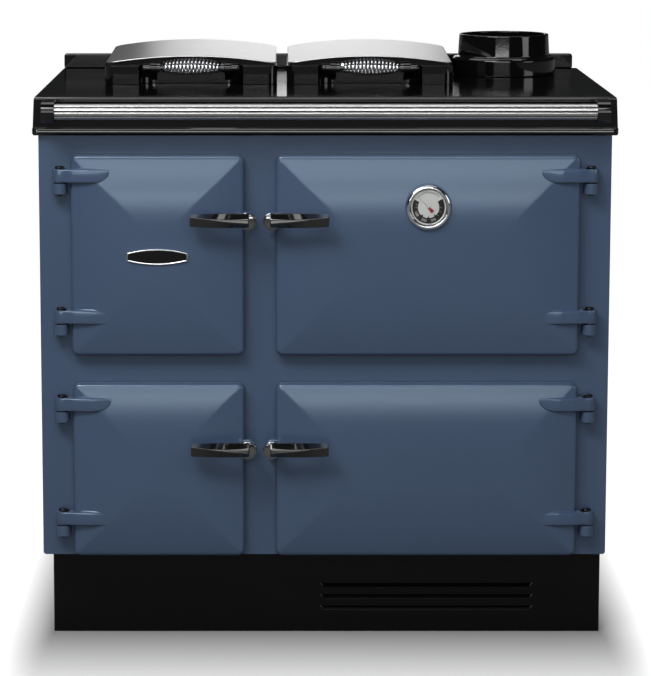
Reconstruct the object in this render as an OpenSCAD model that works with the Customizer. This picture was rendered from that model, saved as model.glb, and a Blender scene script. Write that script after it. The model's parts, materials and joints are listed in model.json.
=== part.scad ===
// Cast iron range cooker: four hipped doors, two sprung-handle hob lids and a round flue spigot.
// Millimetres. X runs to the right, Y to the back and Z up; the origin is on the floor,
// in the middle of the cooker's width and of its depth over the handrail.

/* [Cabinet] */
// Width of the blue body
body_w = 970; // [940:1:1100]
// Depth of the blue body, front plate to back panel
body_d = 610; // [600:1:700]
// Height of the hob surface above the floor
hob_z = 948; // [940:1:980]
// Height of the black plinth
plinth_h = 154.5; // [150:0.5:170]
// Thickness of the cast front plate
front_t = 10; // [6:0.5:14]
// Thickness of the side panels
panel_t = 4; // [2:0.5:6]
// Thickness of the sheet steel in the plinth and back panel
sheet_t = 2; // [1.5:0.5:3]
// Thickness of the floor plate under the body
base_t = 5; // [3:0.5:8]

/* [Plinth] */
// How far the plinth stands back from the front plate
plinth_recess = 60; // [40:1:80]
// Inset of the plinth's left end from the body's side
plinth_left_in = 12; // [2:0.5:20]
// Inset of the plinth's right end from the body's side
plinth_right_in = 2; // [1:0.5:20]
// Number of louvres pressed in the plinth
louvre_n = 3; // [1:1:4]
// Length of a louvre
louvre_w = 373; // [200:1:400]
// Distance from the louvres' right end to the plinth's right end
louvre_in = 116.5; // [60:0.5:200]
// Height of a louvre's slot
louvre_h = 7.5; // [5:0.5:10]
// Distance from one louvre to the next
louvre_pitch = 20.5; // [16:0.5:26]
// Height of the top louvre's upper edge above the floor
louvre_top_z = 87; // [80:1:110]

/* [Doors] */
// Width of the two left doors
left_door_w = 293; // [270:1:310]
// Height of the two upper doors
upper_door_h = 344; // [320:1:350]
// Height of the two lower doors
lower_door_h = 302; // [280:1:310]
// Gap between the left and the right doors
door_gap_x = 53; // [50:1:60]
// Gap between the upper and the lower doors
door_gap_z = 48; // [40:1:60]
// Margin from the body's left side to the left doors
left_margin = 55; // [48:1:70]
// Margin from the right doors to the body's right side
right_margin = 54; // [48:1:70]
// Height of the lower doors above the body's lower edge
door_foot = 2.5; // [1:0.5:6]
// Thickness of a door at its edge
door_edge = 18; // [16:0.5:22]
// Height of the hipped crown above the door's edge
door_crown = 14; // [8:0.5:18]
// Length of the slope from the door's edge to its crown
door_ramp = 130; // [90:1:140]
// Radius of a door's corners
door_r = 8; // [4:0.5:14]
// Wall of the door casting
door_wall = 6; // [5:0.5:8]
// Gap between a closed door and the front plate
door_air = 5; // [4:0.5:7]
// Overlap of a door round the opening behind it
door_lap = 28; // [24:1:34]

/* [Hinges] */
// Radius of a hinge pin
pin_r = 5; // [4:0.25:6]
// Radius of a hinge arm's knuckle
knuckle_r = 12.4; // [11:0.2:13]
// Distance of the hinge pin outside the door's edge
pin_out = 18.6; // [16:0.2:22]
// Distance of the hinge pin in front of the front plate
pin_front = 17; // [15:0.5:19]
// Height of a hinge arm
arm_h = 22.5; // [18:0.5:26]
// Length of a hinge arm from its pin to its tip
arm_len = 83; // [70:1:95]
// Drop from a door's top edge to its upper arm's underside
arm_drop = 47; // [40:1:60]
// Rise from a door's bottom edge to its lower arm's underside
arm_rise = 56; // [40:1:70]
// Height of the lug under an arm
lug_h = 18; // [14:0.5:22]
// Thickness of the washer between arm and lug
washer_t = 2.2; // [1.5:0.1:4]

/* [Handles] */
// Drop from a door's top edge to its handle's pivot
handle_drop = 110; // [90:1:140]
// Length of a lever from its pivot to its outer end
lever_len = 96; // [80:1:110]
// Height of a lever at its outer end
lever_h = 19.5; // [16:0.5:24]
// Thickness of a lever at its outer end
lever_t = 14; // [10:0.5:18]
// Twist of a lever from its outer end to its pivot
lever_twist = 58; // [20:1:70]
// Distance of a lever's back from the door's back
lever_off = 50; // [42:1:52]
// Radius of the bright boss behind a lever
boss_r = 15; // [12:0.5:17]
// Radius of a handle's spindle
spindle_r = 5; // [4:0.5:6]
// Distance of the pivot outside the door's inner edge
pivot_out = 6; // [4:0.5:8]

/* [Hob] */
// Thickness of the hob plate
plate_t = 8; // [6:0.5:12]
// Height of the hob plate's fascia
fascia_h = 66; // [50:1:80]
// Height of the lip along the fascia's lower edge
lip_h = 13; // [8:0.5:20]
// Overhang of the lip beyond the body's sides
lip_side = 10; // [8:0.5:14]
// Overhang of the lip beyond the front plate
lip_front = 12; // [10:0.5:16]
// Height of the upstand along the back edge
upstand_h = 28; // [16:1:40]
// Thickness of the upstand
upstand_t = 8; // [5:0.5:12]
// Thickness of the hotplate casting
hotplate_t = 22; // [16:1:30]

/* [Handrail] */
// Radius of the reeded handrail
rail_r = 13; // [10:0.5:16]
// Wall of the handrail tube
rail_wall = 2.5; // [1.5:0.5:4]
// Distance of the handrail's axis in front of the lip
rail_off = 53; // [50:1:70]
// Height of the handrail's axis below the hob surface
rail_drop = 21; // [18:0.5:34]
// Length of the handrail between its brackets
rail_len = 902; // [700:1:910]
// Width of a handrail bracket
bracket_w = 22; // [18:0.5:24]
// Radius of a bracket's nose
bracket_r = 18; // [17:0.5:22]
// Number of reeds round the handrail
reed_n = 10; // [8:1:28]

/* [Lids] */
// How much wider the left lid is than the right one
lid_odds = 10; // [0:1:20]
// Left edge of the left lid from the body's left side
lid_x_in = 98; // [96:1:110]
// Gap between the lids
lid_gap = 17; // [12:1:20]
// Gap between the right lid and the flue's ring
lid_flue_gap = 13; // [8:1:30]
// Distance from the hob's front edge to the lids
lid_y_in = 239; // [220:1:250]
// Depth of a lid from front to back
lid_d = 308; // [290:1:309]
// Height of a lid's black frame
lid_h = 33; // [28:0.5:38]
// Radius of a lid's corners
lid_r = 17; // [12:0.5:24]
// Height of the dome's corners above the frame
dome_lift = 5; // [4:0.5:10]
// Rise of the dome's arch across the lid
dome_arch = 13; // [8:0.5:18]
// Rise of the dome from its front to its back
dome_rise = 9; // [4:0.5:10]
// Thickness of the dome's sheet
dome_t = 2; // [1.5:0.5:3]
// Length of a sprung lid handle between its collars
coil_len = 106; // [90:1:112]
// Largest radius of the sprung handle
coil_r = 14.3; // [11:0.1:14.6]
// Radius of the sprung handle at its ends
coil_end_r = 8; // [7.6:0.1:9]
// Radius of the spring wire
wire_r = 2.1; // [1.5:0.1:2.3]
// Turns of the sprung handle
coil_turns = 15; // [10:1:16]
// Radius of the rod through the handle
rod_r = 3; // [2:0.25:3.25]
// Height of the handle's axis above the hob surface
coil_z = 30; // [26:0.5:34]
// Distance of the handle's axis in front of the lid
coil_front = 9; // [6:0.5:12]

/* [Flue] */
// Radius of the flue pipe's socket
flue_r = 76; // [70:0.5:77]
// Radius of the spigot's upper collar
collar_r = 82.5; // [81:0.5:86]
// Radius of the spigot's lower ring
ring_r = 95; // [90:0.5:100]
// Height of the spigot above the hob
spigot_h = 74; // [60:1:100]
// Height of the lower ring
ring_h = 33; // [24:1:40]
// Distance from the flue's middle to the body's right side
flue_x_in = 147; // [120:1:160]
// Distance from the hob's front edge to the flue's middle
flue_y_in = 487; // [470:1:500]

/* [Ovens and burner] */
// Wall of the oven boxes
oven_wall = 5; // [3:0.5:8]
// Depth of the oven boxes
oven_d = 470; // [400:1:500]
// Wall of the combustion chamber
chamber_wall = 8; // [6:0.5:12]
// Radius of the burner pot
pot_r = 92; // [80:1:96]
// Height of the burner pot
pot_h = 110; // [90:1:120]
// Distance from the front plate's back to the burner pot's middle
pot_in = 250; // [200:1:300]
// Diameter of a bar in the oven shelf
shelf_bar = 6; // [4:0.5:8]
// Number of long bars in the oven shelf
shelf_n = 15; // [9:2:21]

/* [Fittings] */
// Radius of the thermometer's bezel
bezel_r = 38; // [34:0.5:39]
// Radius of the thermometer's dial
dial_r = 29; // [26:0.5:30]
// Drop from the oven door's top edge to the thermometer's middle
dial_drop = 87.5; // [80:0.5:110]
// Angle at which the cold needle points, from three o'clock
needle_deg = 134; // [100:1:160]
// Width of the bare badge plate
badge_w = 104; // [80:1:120]
// Height of the bare badge plate
badge_h = 27; // [20:0.5:32]
// Height of the badge plate's ends
badge_end = 13; // [8:0.5:18]

/* [Hidden] */
$fn = 48;
fit = 0.05;
air = 0.3;
eps = 0.01;

ENAMEL = [0.25, 0.33, 0.44];
BLACK = [0.05, 0.05, 0.055];
CHROME = [0.8, 0.81, 0.83];
STEEL = [0.66, 0.66, 0.65];
IRON = [0.22, 0.22, 0.23];
ROPE = [0.75, 0.72, 0.65];

// The frame is centred on the depth over the handrail and the width over the lips.
rail_reach = lip_front + rail_off + bracket_r;
front_y = -(body_d - rail_reach) / 2;
back_y = front_y + body_d;
inner_y = front_y + front_t;
half_w = body_w / 2;
plate_under = hob_z - plate_t;
floor_z = plinth_h + base_t;

// Doors: a side is -1 for the left pair and 1 for the right pair, a row is 0 below and 1 above.
left_x = -half_w + left_margin;
split_x = left_x + left_door_w;
right_x = half_w - right_margin;
right_door_w = right_x - split_x - door_gap_x;
low_z = plinth_h + door_foot;
high_z = low_z + lower_door_h + door_gap_z;
door_back_y = front_y - door_air;

function door_w(side) = side < 0 ? left_door_w : right_door_w;
function door_h(row) = row == 0 ? lower_door_h : upper_door_h;
function door_z(row) = row == 0 ? low_z : high_z;
function hinge_x(side) = side < 0 ? left_x : right_x;

pin_y = -(pin_front - door_air);
crown_y = door_edge + door_crown;
liner_t = 3;
plug_d = 13;
plug_gap = 8;
seal_w = 10;
liner_in = door_wall + 0.5;

// The latch turns in a pocket behind the door's handle lug.
lug_t = 10;
pocket_d = door_edge - lug_t;
nose_len = 12;
nose_w = 6;
cam_t = 5;
cam_off = (pocket_d - cam_t) / 2;
pocket_r = nose_len + 1.6;
roller_r = 2.5;

plate_w_top = half_w + lip_side - 5;
lip_w = half_w + lip_side;
plate_front = front_y - lip_front;
deck_front = plate_front + 2;
fascia_y = plate_front + 1.5;

rail_y = plate_front - rail_off;
rail_z = hob_z - rail_drop;

flue_x = half_w - flue_x_in;
lid_left_x = -half_w + lid_x_in;
lids_w = flue_x - ring_r - lid_flue_gap - lid_left_x - lid_gap;
left_lid_w = (lids_w + lid_odds) / 2;
right_lid_w = (lids_w - lid_odds) / 2;
lid_right_x = lid_left_x + left_lid_w + lid_gap;
lid_y = deck_front + lid_y_in;
lid_end_x = lid_right_x + right_lid_w;
lid_back = 11;
hinge_h = 12;
hinge_r = 8;
hinge_pin_r = 4;
hinge_half = 100;
hinge_lug_w = 14;
recess_w = 184;
recess_d = 30;
coil_lug_w = 11;
collar_len = 7;

flue_y = deck_front + flue_y_in;

oven_in = 6;
oven_x = split_x + door_gap_x + door_lap - oven_in;
oven_w = right_door_w - 2 * door_lap + 2 * oven_in;
chamber_x = left_x + door_lap - oven_in;
chamber_w = left_door_w - 2 * door_lap + 2 * oven_in;
chamber_z = high_z - 30;
hot_under = hob_z - hotplate_t;
hot_in = 8;
hot_y = lid_y + hot_in + 32;
hot_d = lid_d - 2 * hot_in - 32;
oven_top = high_z + upper_door_h - door_lap + oven_in;

pot_x = chamber_x + chamber_w / 2;
pot_y = inner_y + pot_in;
hot_lip = 12;
way_in = 20;

// ---------- shared shapes ----------

// A flat rectangle with round corners, from the origin.
module rounded(w, h, r) {
  union() {
    translate([r, 0]) square([w - 2 * r, h]);
    translate([0, r]) square([w, h - 2 * r]);
    for (x = [r, w - r], y = [r, h - r]) translate([x, y]) circle(r);
  }
}

// The same outline standing up in X and Z, with its thickness from y = 0 towards the front.
module upright(w, h, r, t) {
  rotate([90, 0, 0]) linear_extrude(t) rounded(w, h, r);
}

// A solid through rings of four corners: each ring is [x0, x1, z0, z1, y].
function ring_points(r) = [[r[0], r[4], r[2]], [r[1], r[4], r[2]], [r[1], r[4], r[3]], [r[0], r[4], r[3]]];

module stacked(rings) {
  last = 4 * (len(rings) - 1);
  sides = [
    for (i = [0 : len(rings) - 2], k = [0 : 3])
      [4 * i + k, 4 * i + 4 + k, 4 * i + 4 + (k + 1) % 4, 4 * i + (k + 1) % 4]
  ];
  polyhedron(
    points = [for (r = rings) each ring_points(r)],
    faces = concat([[0, 1, 2, 3]], sides, [[last + 3, last + 2, last + 1, last]])
  );
}

// A cylinder between two x positions on an axis through [y, z].
module bar_x(x0, x1, y, z, r) {
  translate([x0, y, z]) rotate([0, 90, 0]) cylinder(r = r, h = x1 - x0);
}

// A cylinder from y0 to y1, which is further to the back, on an axis through [x, z].
module bar_y(x, z, y0, y1, r) {
  translate([x, y1, z]) rotate([90, 0, 0]) cylinder(r = r, h = y1 - y0);
}

// A tube through a list of rings of points, closed at both ends.
module tube_skin(rings) {
  n = len(rings[0]);
  last = n * (len(rings) - 1);
  walls = [
    for (i = [0 : len(rings) - 2], k = [0 : n - 1])
      let (a = n * i + k, b = n * i + (k + 1) % n, c = a + n, d = b + n)
        each [[a, b, d], [a, d, c]]
  ];
  front = [for (k = [1 : n - 2]) [0, k + 1, k]];
  back = [for (k = [1 : n - 2]) [last, last + k, last + k + 1]];
  polyhedron(points = [for (r = rings) each r], faces = concat(walls, front, back));
}

// ---------- plinth and casing ----------

plinth_x0 = -half_w + plinth_left_in;
plinth_x1 = half_w - plinth_right_in;
plinth_y = front_y + plinth_recess;
plinth_back = 30;

// The outline of a louvre's slot, wider at its top, carried down by "below" at its lower edge.
module louvre_outline(depth, below) {
  top = louvre_w / 2;
  foot = top - louvre_h;
  rotate([90, 0, 0]) linear_extrude(depth) polygon([
    [-top, louvre_h], [top, louvre_h], [foot, 0], [foot, -below], [-foot, -below], [-foot, 0]
  ]);
}

louvre_x = plinth_x1 - louvre_in - louvre_w / 2;

module plinth_front() color(BLACK) {
  root = 1;
  reach = sheet_t + louvre_h;
  difference() {
    translate([plinth_x0, plinth_y, 0]) cube([plinth_x1 - plinth_x0, sheet_t, plinth_h]);
    for (i = [0 : louvre_n - 1])
      translate([louvre_x, plinth_y + sheet_t + eps, louvre_z(i)])
        louvre_outline(sheet_t + 2 * eps, 0);
  }
  for (i = [0 : louvre_n - 1])
    translate([louvre_x, plinth_y, louvre_z(i)]) intersection() {
      translate([-louvre_w / 2, 0, 0]) rotate([90, 0, 90]) linear_extrude(louvre_w) polygon([
        [0, -root], [sheet_t, -root], [reach, louvre_h], [reach - sheet_t, louvre_h], [0, 0]
      ]);
      translate([0, reach, 0]) louvre_outline(reach, root);
    }
}

function louvre_z(i) = louvre_top_z - louvre_h - i * louvre_pitch;

module plinth_frame() color(BLACK) {
  y0 = plinth_y + sheet_t;
  y1 = back_y - plinth_back;
  for (x = [plinth_x0, plinth_x1 - sheet_t])
    translate([x, y0, 0]) cube([sheet_t, y1 - y0, plinth_h]);
  translate([plinth_x0 + sheet_t, y1 - sheet_t, 0])
    cube([plinth_x1 - plinth_x0 - 2 * sheet_t, sheet_t, plinth_h]);
  flange = 30;
  for (x = [plinth_x0 + sheet_t, plinth_x1 - sheet_t - flange])
    translate([x, y0, plinth_h - sheet_t]) cube([flange, y1 - y0 - sheet_t, sheet_t]);
}

foot_in = 70;

module levelling_feet() color(STEEL) {
  stud_r = 6;
  pad_r = 22;
  pad_h = 8;
  for (x = [plinth_x0 + foot_in, plinth_x1 - foot_in])
    for (y = [plinth_y + foot_in, back_y - plinth_back - foot_in])
      translate([x, y, 0]) {
        cylinder(r = pad_r, h = pad_h);
        cylinder(r = stud_r, h = plinth_h);
        translate([0, 0, plinth_h - 2 * pad_h]) cylinder(r = 2 * stud_r, h = pad_h, $fn = 6);
      }
}

module base_plate() color(IRON) {
  translate([-half_w, inner_y, plinth_h]) cube([body_w, back_y - sheet_t - inner_y, base_t]);
}

module side_panel(side) color(ENAMEL) {
  flange = 20;
  lip_t = 3;
  h = plate_under - floor_z;
  x = side < 0 ? -half_w : half_w - panel_t;
  xf = side < 0 ? -half_w + panel_t : half_w - panel_t - flange;
  translate([x, inner_y, floor_z]) cube([panel_t, back_y - sheet_t - inner_y, h]);
  translate([xf, inner_y, floor_z]) cube([flange, lip_t, h]);
  translate([xf, back_y - sheet_t - lip_t, floor_z]) cube([flange, lip_t, h]);
}

module side_panel_left() side_panel(-1);
module side_panel_right() side_panel(1);

module back_panel() color(IRON) {
  vent_n = 9;
  vent_w = 60;
  vent_h = 6;
  difference() {
    translate([-half_w, back_y - sheet_t, floor_z]) cube([body_w, sheet_t, plate_under - floor_z]);
    for (i = [0 : vent_n - 1], x = [-half_w / 2, half_w / 2])
      translate([x - vent_w / 2, back_y + eps, floor_z + 60 + 3 * vent_h * i])
        upright(vent_w, vent_h, vent_h / 2 - eps, sheet_t + 2 * eps);
  }
}

// ---------- front plate with its hinge lugs ----------

// Places its children at a door's lower hinge corner, with x running to the middle of the cooker.
module at_door(side, row) {
  translate([hinge_x(side), door_back_y, door_z(row)]) mirror([side < 0 ? 0 : 1, 0, 0]) children();
}

// Heights of the undersides of a door's two hinge arms above its lower edge.
function arm_zs(row) = [arm_rise, door_h(row) - arm_drop];

module hinge_lug() {
  translate([-pin_out, pin_y, -lug_h - washer_t]) difference() {
    union() {
      cylinder(r = knuckle_r, h = lug_h);
      translate([-knuckle_r, 0, 0]) cube([2 * knuckle_r, pin_front, lug_h]);
    }
    translate([0, 0, -1]) cylinder(r = pin_r + fit, h = lug_h + 2);
  }
}

module front_plate() color(ENAMEL) {
  h = plate_under - plinth_h;
  foot_r = 5;
  difference() {
    translate([-half_w, inner_y, plinth_h]) {
      upright(body_w, h - 2 * foot_r, foot_r, front_t);
      translate([0, 0, 2 * foot_r]) rotate([90, 0, 0]) linear_extrude(front_t)
        square([body_w, h - 2 * foot_r]);
    }
    for (side = [-1, 1], row = [0, 1]) at_door(side, row)
      translate([door_lap, door_air + front_t + 1, door_lap])
        upright(door_w(side) - 2 * door_lap, door_h(row) - 2 * door_lap, door_r, front_t + 2);
  }
  for (side = [-1, 1], row = [0, 1], z = arm_zs(row)) at_door(side, row)
    translate([0, 0, z]) hinge_lug();
}

module hinge_pins() color(BLACK) {
  head_r = 7.7;
  head_h = 5;
  collar = 9;
  for (side = [-1, 1], row = [0, 1], z = arm_zs(row)) at_door(side, row)
    translate([-pin_out, pin_y, z]) rotate_extrude() polygon([
      [0, -lug_h - washer_t - 3], [pin_r - 1, -lug_h - washer_t - 3], [pin_r, -lug_h - washer_t - 2],
      [pin_r, -washer_t], [collar, -washer_t], [collar, -air], [pin_r, -air],
      [pin_r, arm_h + air], [head_r, arm_h + air], [head_r, arm_h + head_h - 2],
      [head_r - 2, arm_h + head_h], [0, arm_h + head_h + 0.6]
    ]);
}

// ---------- doors ----------

// Rings of the hipped face: a straight edge, a small bevel and a slope that fades into the crown.
ramp_n = 9;
bevel = 2.5;

function crown_at(t, w, h) =
  let (r = min(door_ramp, min(w, h) / 2 - 3), u = min(1, t / r)) door_crown * (1 - pow(1 - u, 2));

function face_rings(w, h, edge) =
  let (r = min(door_ramp, min(w, h) / 2 - 3))
    concat(
      [[0, w, 0, h, 0], [0, w, 0, h, -(edge - bevel)]],
      [
        for (i = [0 : ramp_n])
          let (t = bevel + (r - bevel) * i / ramp_n)
            [t, w - t, t, h - t, -(edge + crown_at(t, w, h))]
      ]
    );

// The leaf of a hinge arm, standing in front of the face, with its curved end below or above.
module hinge_arm(flip) {
  straight = 0.64 * arm_len;
  rise = door_edge + pin_y;
  leaf = [
    for (a = [0 : 15 : 90])
      [straight + (arm_len - straight) * sin(a), (arm_h - 3) * (1 - cos(a))]
  ];
  side_view = concat(
    [[-knuckle_r - 1, 0]], leaf, [[arm_len - 1, arm_h], [-knuckle_r - 1, arm_h]]
  );
  top_view = [
    [0, knuckle_r], [0.28 * arm_len, rise + 0.75 * door_crown], [0.6 * arm_len, rise + 0.9 * door_crown],
    [arm_len, rise + 0.72 * door_crown], [arm_len, rise - 3], [pin_out + 2, rise - 3],
    [pin_out - 6, -6], [0, -knuckle_r + 4]
  ];
  difference() {
    intersection() {
      mirror([0, 1, 0]) linear_extrude(arm_h) union() {
        circle(knuckle_r);
        polygon(top_view);
      }
      translate([0, door_crown + knuckle_r, flip ? arm_h : 0]) mirror([0, 0, flip ? 1 : 0])
        rotate([90, 0, 0]) linear_extrude(3 * door_crown + 2 * knuckle_r) polygon(side_view);
    }
    translate([0, 0, -1]) cylinder(r = pin_r + fit, h = arm_h + 2);
  }
}

module door_casting(side, row) {
  w = door_w(side);
  h = door_h(row);
  px = w + pivot_out;
  pz = h - handle_drop;
  difference() {
    union() {
      difference() {
        intersection() {
          stacked(face_rings(w, h, door_edge));
          upright(w, h, door_r, 2 * crown_y);
        }
        translate([door_wall, eps, door_wall])
          stacked(face_rings(w - 2 * door_wall, h - 2 * door_wall, door_edge - door_wall));
      }
      translate([w - door_wall, -door_edge, pz - boss_r + 3])
        cube([door_wall + pivot_out, door_edge, 2 * boss_r - 6]);
      bar_y(px, pz, -door_edge, 0, boss_r - 3);
    }
    bar_y(px, pz, -door_edge - 1, 1, spindle_r + fit);
    bar_y(px, pz, -pocket_d, 1, pocket_r);
  }
  for (i = [0, 1])
    translate([-pin_out, pin_y, arm_zs(row)[i]]) hinge_arm(i == 0);
}

// Inner plate with the raised plug that closes the opening in the front plate.
module door_liner(side, row) {
  w = door_w(side);
  h = door_h(row);
  plug = door_lap + plug_gap;
  difference() {
    translate([liner_in, 0, liner_in])
      upright(w - 2 * liner_in, h - 2 * liner_in, door_r - 2, liner_t);
    bar_y(w + pivot_out, h - handle_drop, -liner_t - 1, 1, pocket_r + 1);
  }
  translate([plug, plug_d, plug]) upright(w - 2 * plug, h - 2 * plug, door_r, plug_d);
}

module door_seal(side, row) {
  w = door_w(side);
  h = door_h(row);
  out = door_lap - 1 - seal_w;
  in = door_lap - 1;
  t = door_air - air;
  difference() {
    translate([out, t, out]) upright(w - 2 * out, h - 2 * out, door_r + 6, t);
    translate([in, t + 1, in]) upright(w - 2 * in, h - 2 * in, door_r, t + 2);
  }
}

// Twisted lever: rounded rectangles that turn as they near the pivot.
lever_n = 10;
lever_in = 3;

function lever_ring(u) =
  let (
    a = lever_twist * u,
    hz = (lever_h / 2) * (1 + 0.03 * u),
    hy = (lever_t / 2) * (1 + 0.07 * u),
    x = -lever_len + (lever_len + lever_in) * u,
    c = 0.28,
    mid = 1 - 0.29 * c,
    corner = [[1, 1 - c], [mid, mid], [1 - c, 1]],
    reach_y = air + max([for (m = corner) m[0] * hy * cos(a) + m[1] * hz * sin(a)])
  )
    [
      for (q = [0 : 3], s = [-1, 0, 1])
        let (
          k = s == 0 ? mid : 1,
          sz = (q == 0 || q == 3 ? 1 : -1),
          sy = (q < 2 ? 1 : -1),
          odd = q % 2 == 0,
          cut = [s == (odd ? -1 : 1) ? 1 - c : k, s == (odd ? 1 : -1) ? 1 - c : k],
          y0 = sy * hy * cut[0],
          z0 = sz * hz * cut[1]
        )
          [x, -(lever_off + reach_y) + y0 * cos(a) - z0 * sin(a), y0 * sin(a) + z0 * cos(a)]
    ];

module door_handle(side, row) {
  w = door_w(side);
  h = door_h(row);
  translate([w + pivot_out, 0, h - handle_drop])
    tube_skin([for (i = [0 : lever_n]) lever_ring(i / lever_n)]);
}

// Spindle with the bright boss behind the lever and the latch nose behind the door.
module door_latch(side, row) {
  w = door_w(side);
  h = door_h(row);
  px = w + pivot_out;
  pz = h - handle_drop;
  flange = 6;
  neck_r = 2 * spindle_r;
  neck_back = -door_edge - 1.5;
  bar_y(px, pz, -lever_off, -lever_off + flange, boss_r);
  bar_y(px, pz, -lever_off + flange, neck_back, neck_r);
  bar_y(px, pz, neck_back, -cam_off, spindle_r);
  bar_y(px, pz, -cam_off - cam_t, -cam_off, spindle_r + 3);
  translate([px - nose_w / 2, -cam_off - cam_t, pz - nose_len]) cube([nose_w, cam_t, nose_len]);
}

// Keepers on the front plate, each with a sprung roller just under its latch's nose.
module door_catches() color(ENAMEL) {
  block_h = 11;
  block_w = 11;
  play = 0.5;
  block_x = play - pivot_out;
  for (side = [-1, 1], row = [0, 1]) at_door(side, row)
    translate([door_w(side) + pivot_out, 0, door_h(row) - handle_drop - nose_len - roller_r - air]) {
      mid = -(cam_off + cam_t / 2);
      difference() {
        translate([block_x, mid - roller_r, -block_h])
          cube([block_w, door_air - mid + roller_r, block_h]);
        bar_x(block_x - 1, block_x + block_w + 1, mid, 0, roller_r + fit);
      }
      bar_x(block_x + play, block_x + block_w - play, mid, 0, roller_r);
    }
}

module fire_door() color(ENAMEL) at_door(-1, 1) door_casting(-1, 1);
module fire_door_liner() color(STEEL) at_door(-1, 1) door_liner(-1, 1);
module fire_door_seal() color(ROPE) at_door(-1, 1) door_seal(-1, 1);
module fire_door_handle() color(BLACK) at_door(-1, 1) door_handle(-1, 1);
module fire_door_latch() color(CHROME) at_door(-1, 1) door_latch(-1, 1);

module burner_door() color(ENAMEL) at_door(-1, 0) door_casting(-1, 0);
module burner_door_liner() color(STEEL) at_door(-1, 0) door_liner(-1, 0);
module burner_door_seal() color(ROPE) at_door(-1, 0) door_seal(-1, 0);
module burner_door_handle() color(BLACK) at_door(-1, 0) door_handle(-1, 0);
module burner_door_latch() color(CHROME) at_door(-1, 0) door_latch(-1, 0);

module warming_door() color(ENAMEL) at_door(1, 0) door_casting(1, 0);
module warming_door_liner() color(STEEL) at_door(1, 0) door_liner(1, 0);
module warming_door_seal() color(ROPE) at_door(1, 0) door_seal(1, 0);
module warming_door_handle() color(BLACK) at_door(1, 0) door_handle(1, 0);
module warming_door_latch() color(CHROME) at_door(1, 0) door_latch(1, 0);

// The oven door also carries the thermometer on a round pad.
stem_r = 4;
pad_t = 0.5;
stem_hole = stem_r + 0.4;

module at_dial() {
  at_door(1, 1) translate([door_w(1) / 2, 0, door_h(1) - dial_drop]) children();
}

module oven_door() color(ENAMEL) {
  difference() {
    union() {
      at_door(1, 1) door_casting(1, 1);
      at_dial() bar_y(0, 0, -crown_y - pad_t, -door_edge + door_wall, bezel_r + 1.5);
    }
    at_dial() bar_y(0, 0, -crown_y - 2, 1, stem_hole);
  }
}

module oven_door_liner() color(STEEL) {
  difference() {
    at_door(1, 1) door_liner(1, 1);
    at_dial() bar_y(0, 0, -liner_t - 1, plug_d + 1, stem_hole);
  }
}

module oven_door_seal() color(ROPE) at_door(1, 1) door_seal(1, 1);
module oven_door_handle() color(BLACK) at_door(1, 1) door_handle(1, 1);
module oven_door_latch() color(CHROME) at_door(1, 1) door_latch(1, 1);

// ---------- badge and thermometer ----------

module badge_plate() color(BLACK) {
  rim_h = 3.5;
  bow = (badge_h - badge_end) / 2;
  r = (badge_w * badge_w / 4 + bow * bow) / (2 * bow);
  at_door(-1, 1)
    translate([door_w(-1) / 2, -crown_y, door_h(1) / 2]) rotate([90, 0, 0]) {
      linear_extrude(rim_h - 1) lozenge(r, 2);
      difference() {
        linear_extrude(rim_h) lozenge(r, 0);
        translate([0, 0, rim_h - 1]) linear_extrude(2) lozenge(r, 2);
      }
    }
}

// A bar whose long sides are bowed out by two arcs.
module lozenge(r, inset) {
  intersection() {
    translate([0, r - badge_h / 2]) circle(r - inset, $fn = 96);
    translate([0, badge_h / 2 - r]) circle(r - inset, $fn = 96);
    square([badge_w - 2 * inset, badge_h], center = true);
  }
}

dial_base = crown_y + pad_t;
bezel_h = 8;
cup_t = 1.5;
dial_t = 1;

module thermometer_bezel() color(CHROME) {
  wall = bezel_r - dial_r;
  at_dial() {
    translate([0, -dial_base, 0]) rotate([90, 0, 0]) rotate_extrude() polygon([
      [0, 0], [bezel_r, 0], [bezel_r, bezel_h - 3], [bezel_r - 1, bezel_h - 1],
      [bezel_r - 3, bezel_h], [bezel_r - wall + 3, bezel_h], [dial_r + 0.5, bezel_h - 2],
      [dial_r + 0.5, cup_t], [0, cup_t]
    ]);
    bar_y(0, 0, -dial_base, plug_d + 12, stem_r);
  }
}

module thermometer_dial() color("white") at_dial() {
  difference() {
    bar_y(0, 0, -dial_base - cup_t - dial_t, -dial_base - cup_t, dial_r);
    bar_y(0, 0, -dial_base - cup_t - dial_t - 1, -dial_base, 1.2 + fit);
  }
}

needle_gap = 1;
needle_t = 1;

module thermometer_needle() color("firebrick") at_dial() {
  y = -dial_base - cup_t - dial_t - needle_gap;
  tip = 0.82 * dial_r;
  tail = 0.37 * dial_r;
  bar_y(0, 0, y, y + needle_gap + dial_t - 0.2, 1.2);
  bar_y(0, 0, y - needle_t, y, 2.4);
  translate([0, y, 0]) mirror([1, 0, 0]) rotate([0, -needle_deg, 0]) rotate([90, 0, 0])
    linear_extrude(needle_t) polygon([
      [-tail, -2.6], [-tail, 2.6], [0, 0.9], [tip, 0.3], [tip, -0.3], [0, -0.9]
    ]);
}

module thermometer_glass() color([0.8, 0.9, 0.95, 0.4]) at_dial() {
  bar_y(0, 0, -dial_base - bezel_h + 1, -dial_base - bezel_h + 2.5, dial_r + 0.3);
}

// ---------- hob ----------

// Plan rings of the hob plate from its lip up to its flat top: [half width, front, height].
plate_rings = [
  [lip_w - 3, plate_front + 3, hob_z - fascia_h],
  [lip_w, plate_front, hob_z - fascia_h + 3],
  [lip_w, plate_front, hob_z - fascia_h + lip_h - 2],
  [lip_w - 1.5, fascia_y, hob_z - fascia_h + lip_h],
  [plate_w_top + 1, fascia_y, hob_z - 5],
  [plate_w_top, deck_front + 0.5, hob_z - 1.6],
  [plate_w_top - 2.5, deck_front + 2.5, hob_z]
];

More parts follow.
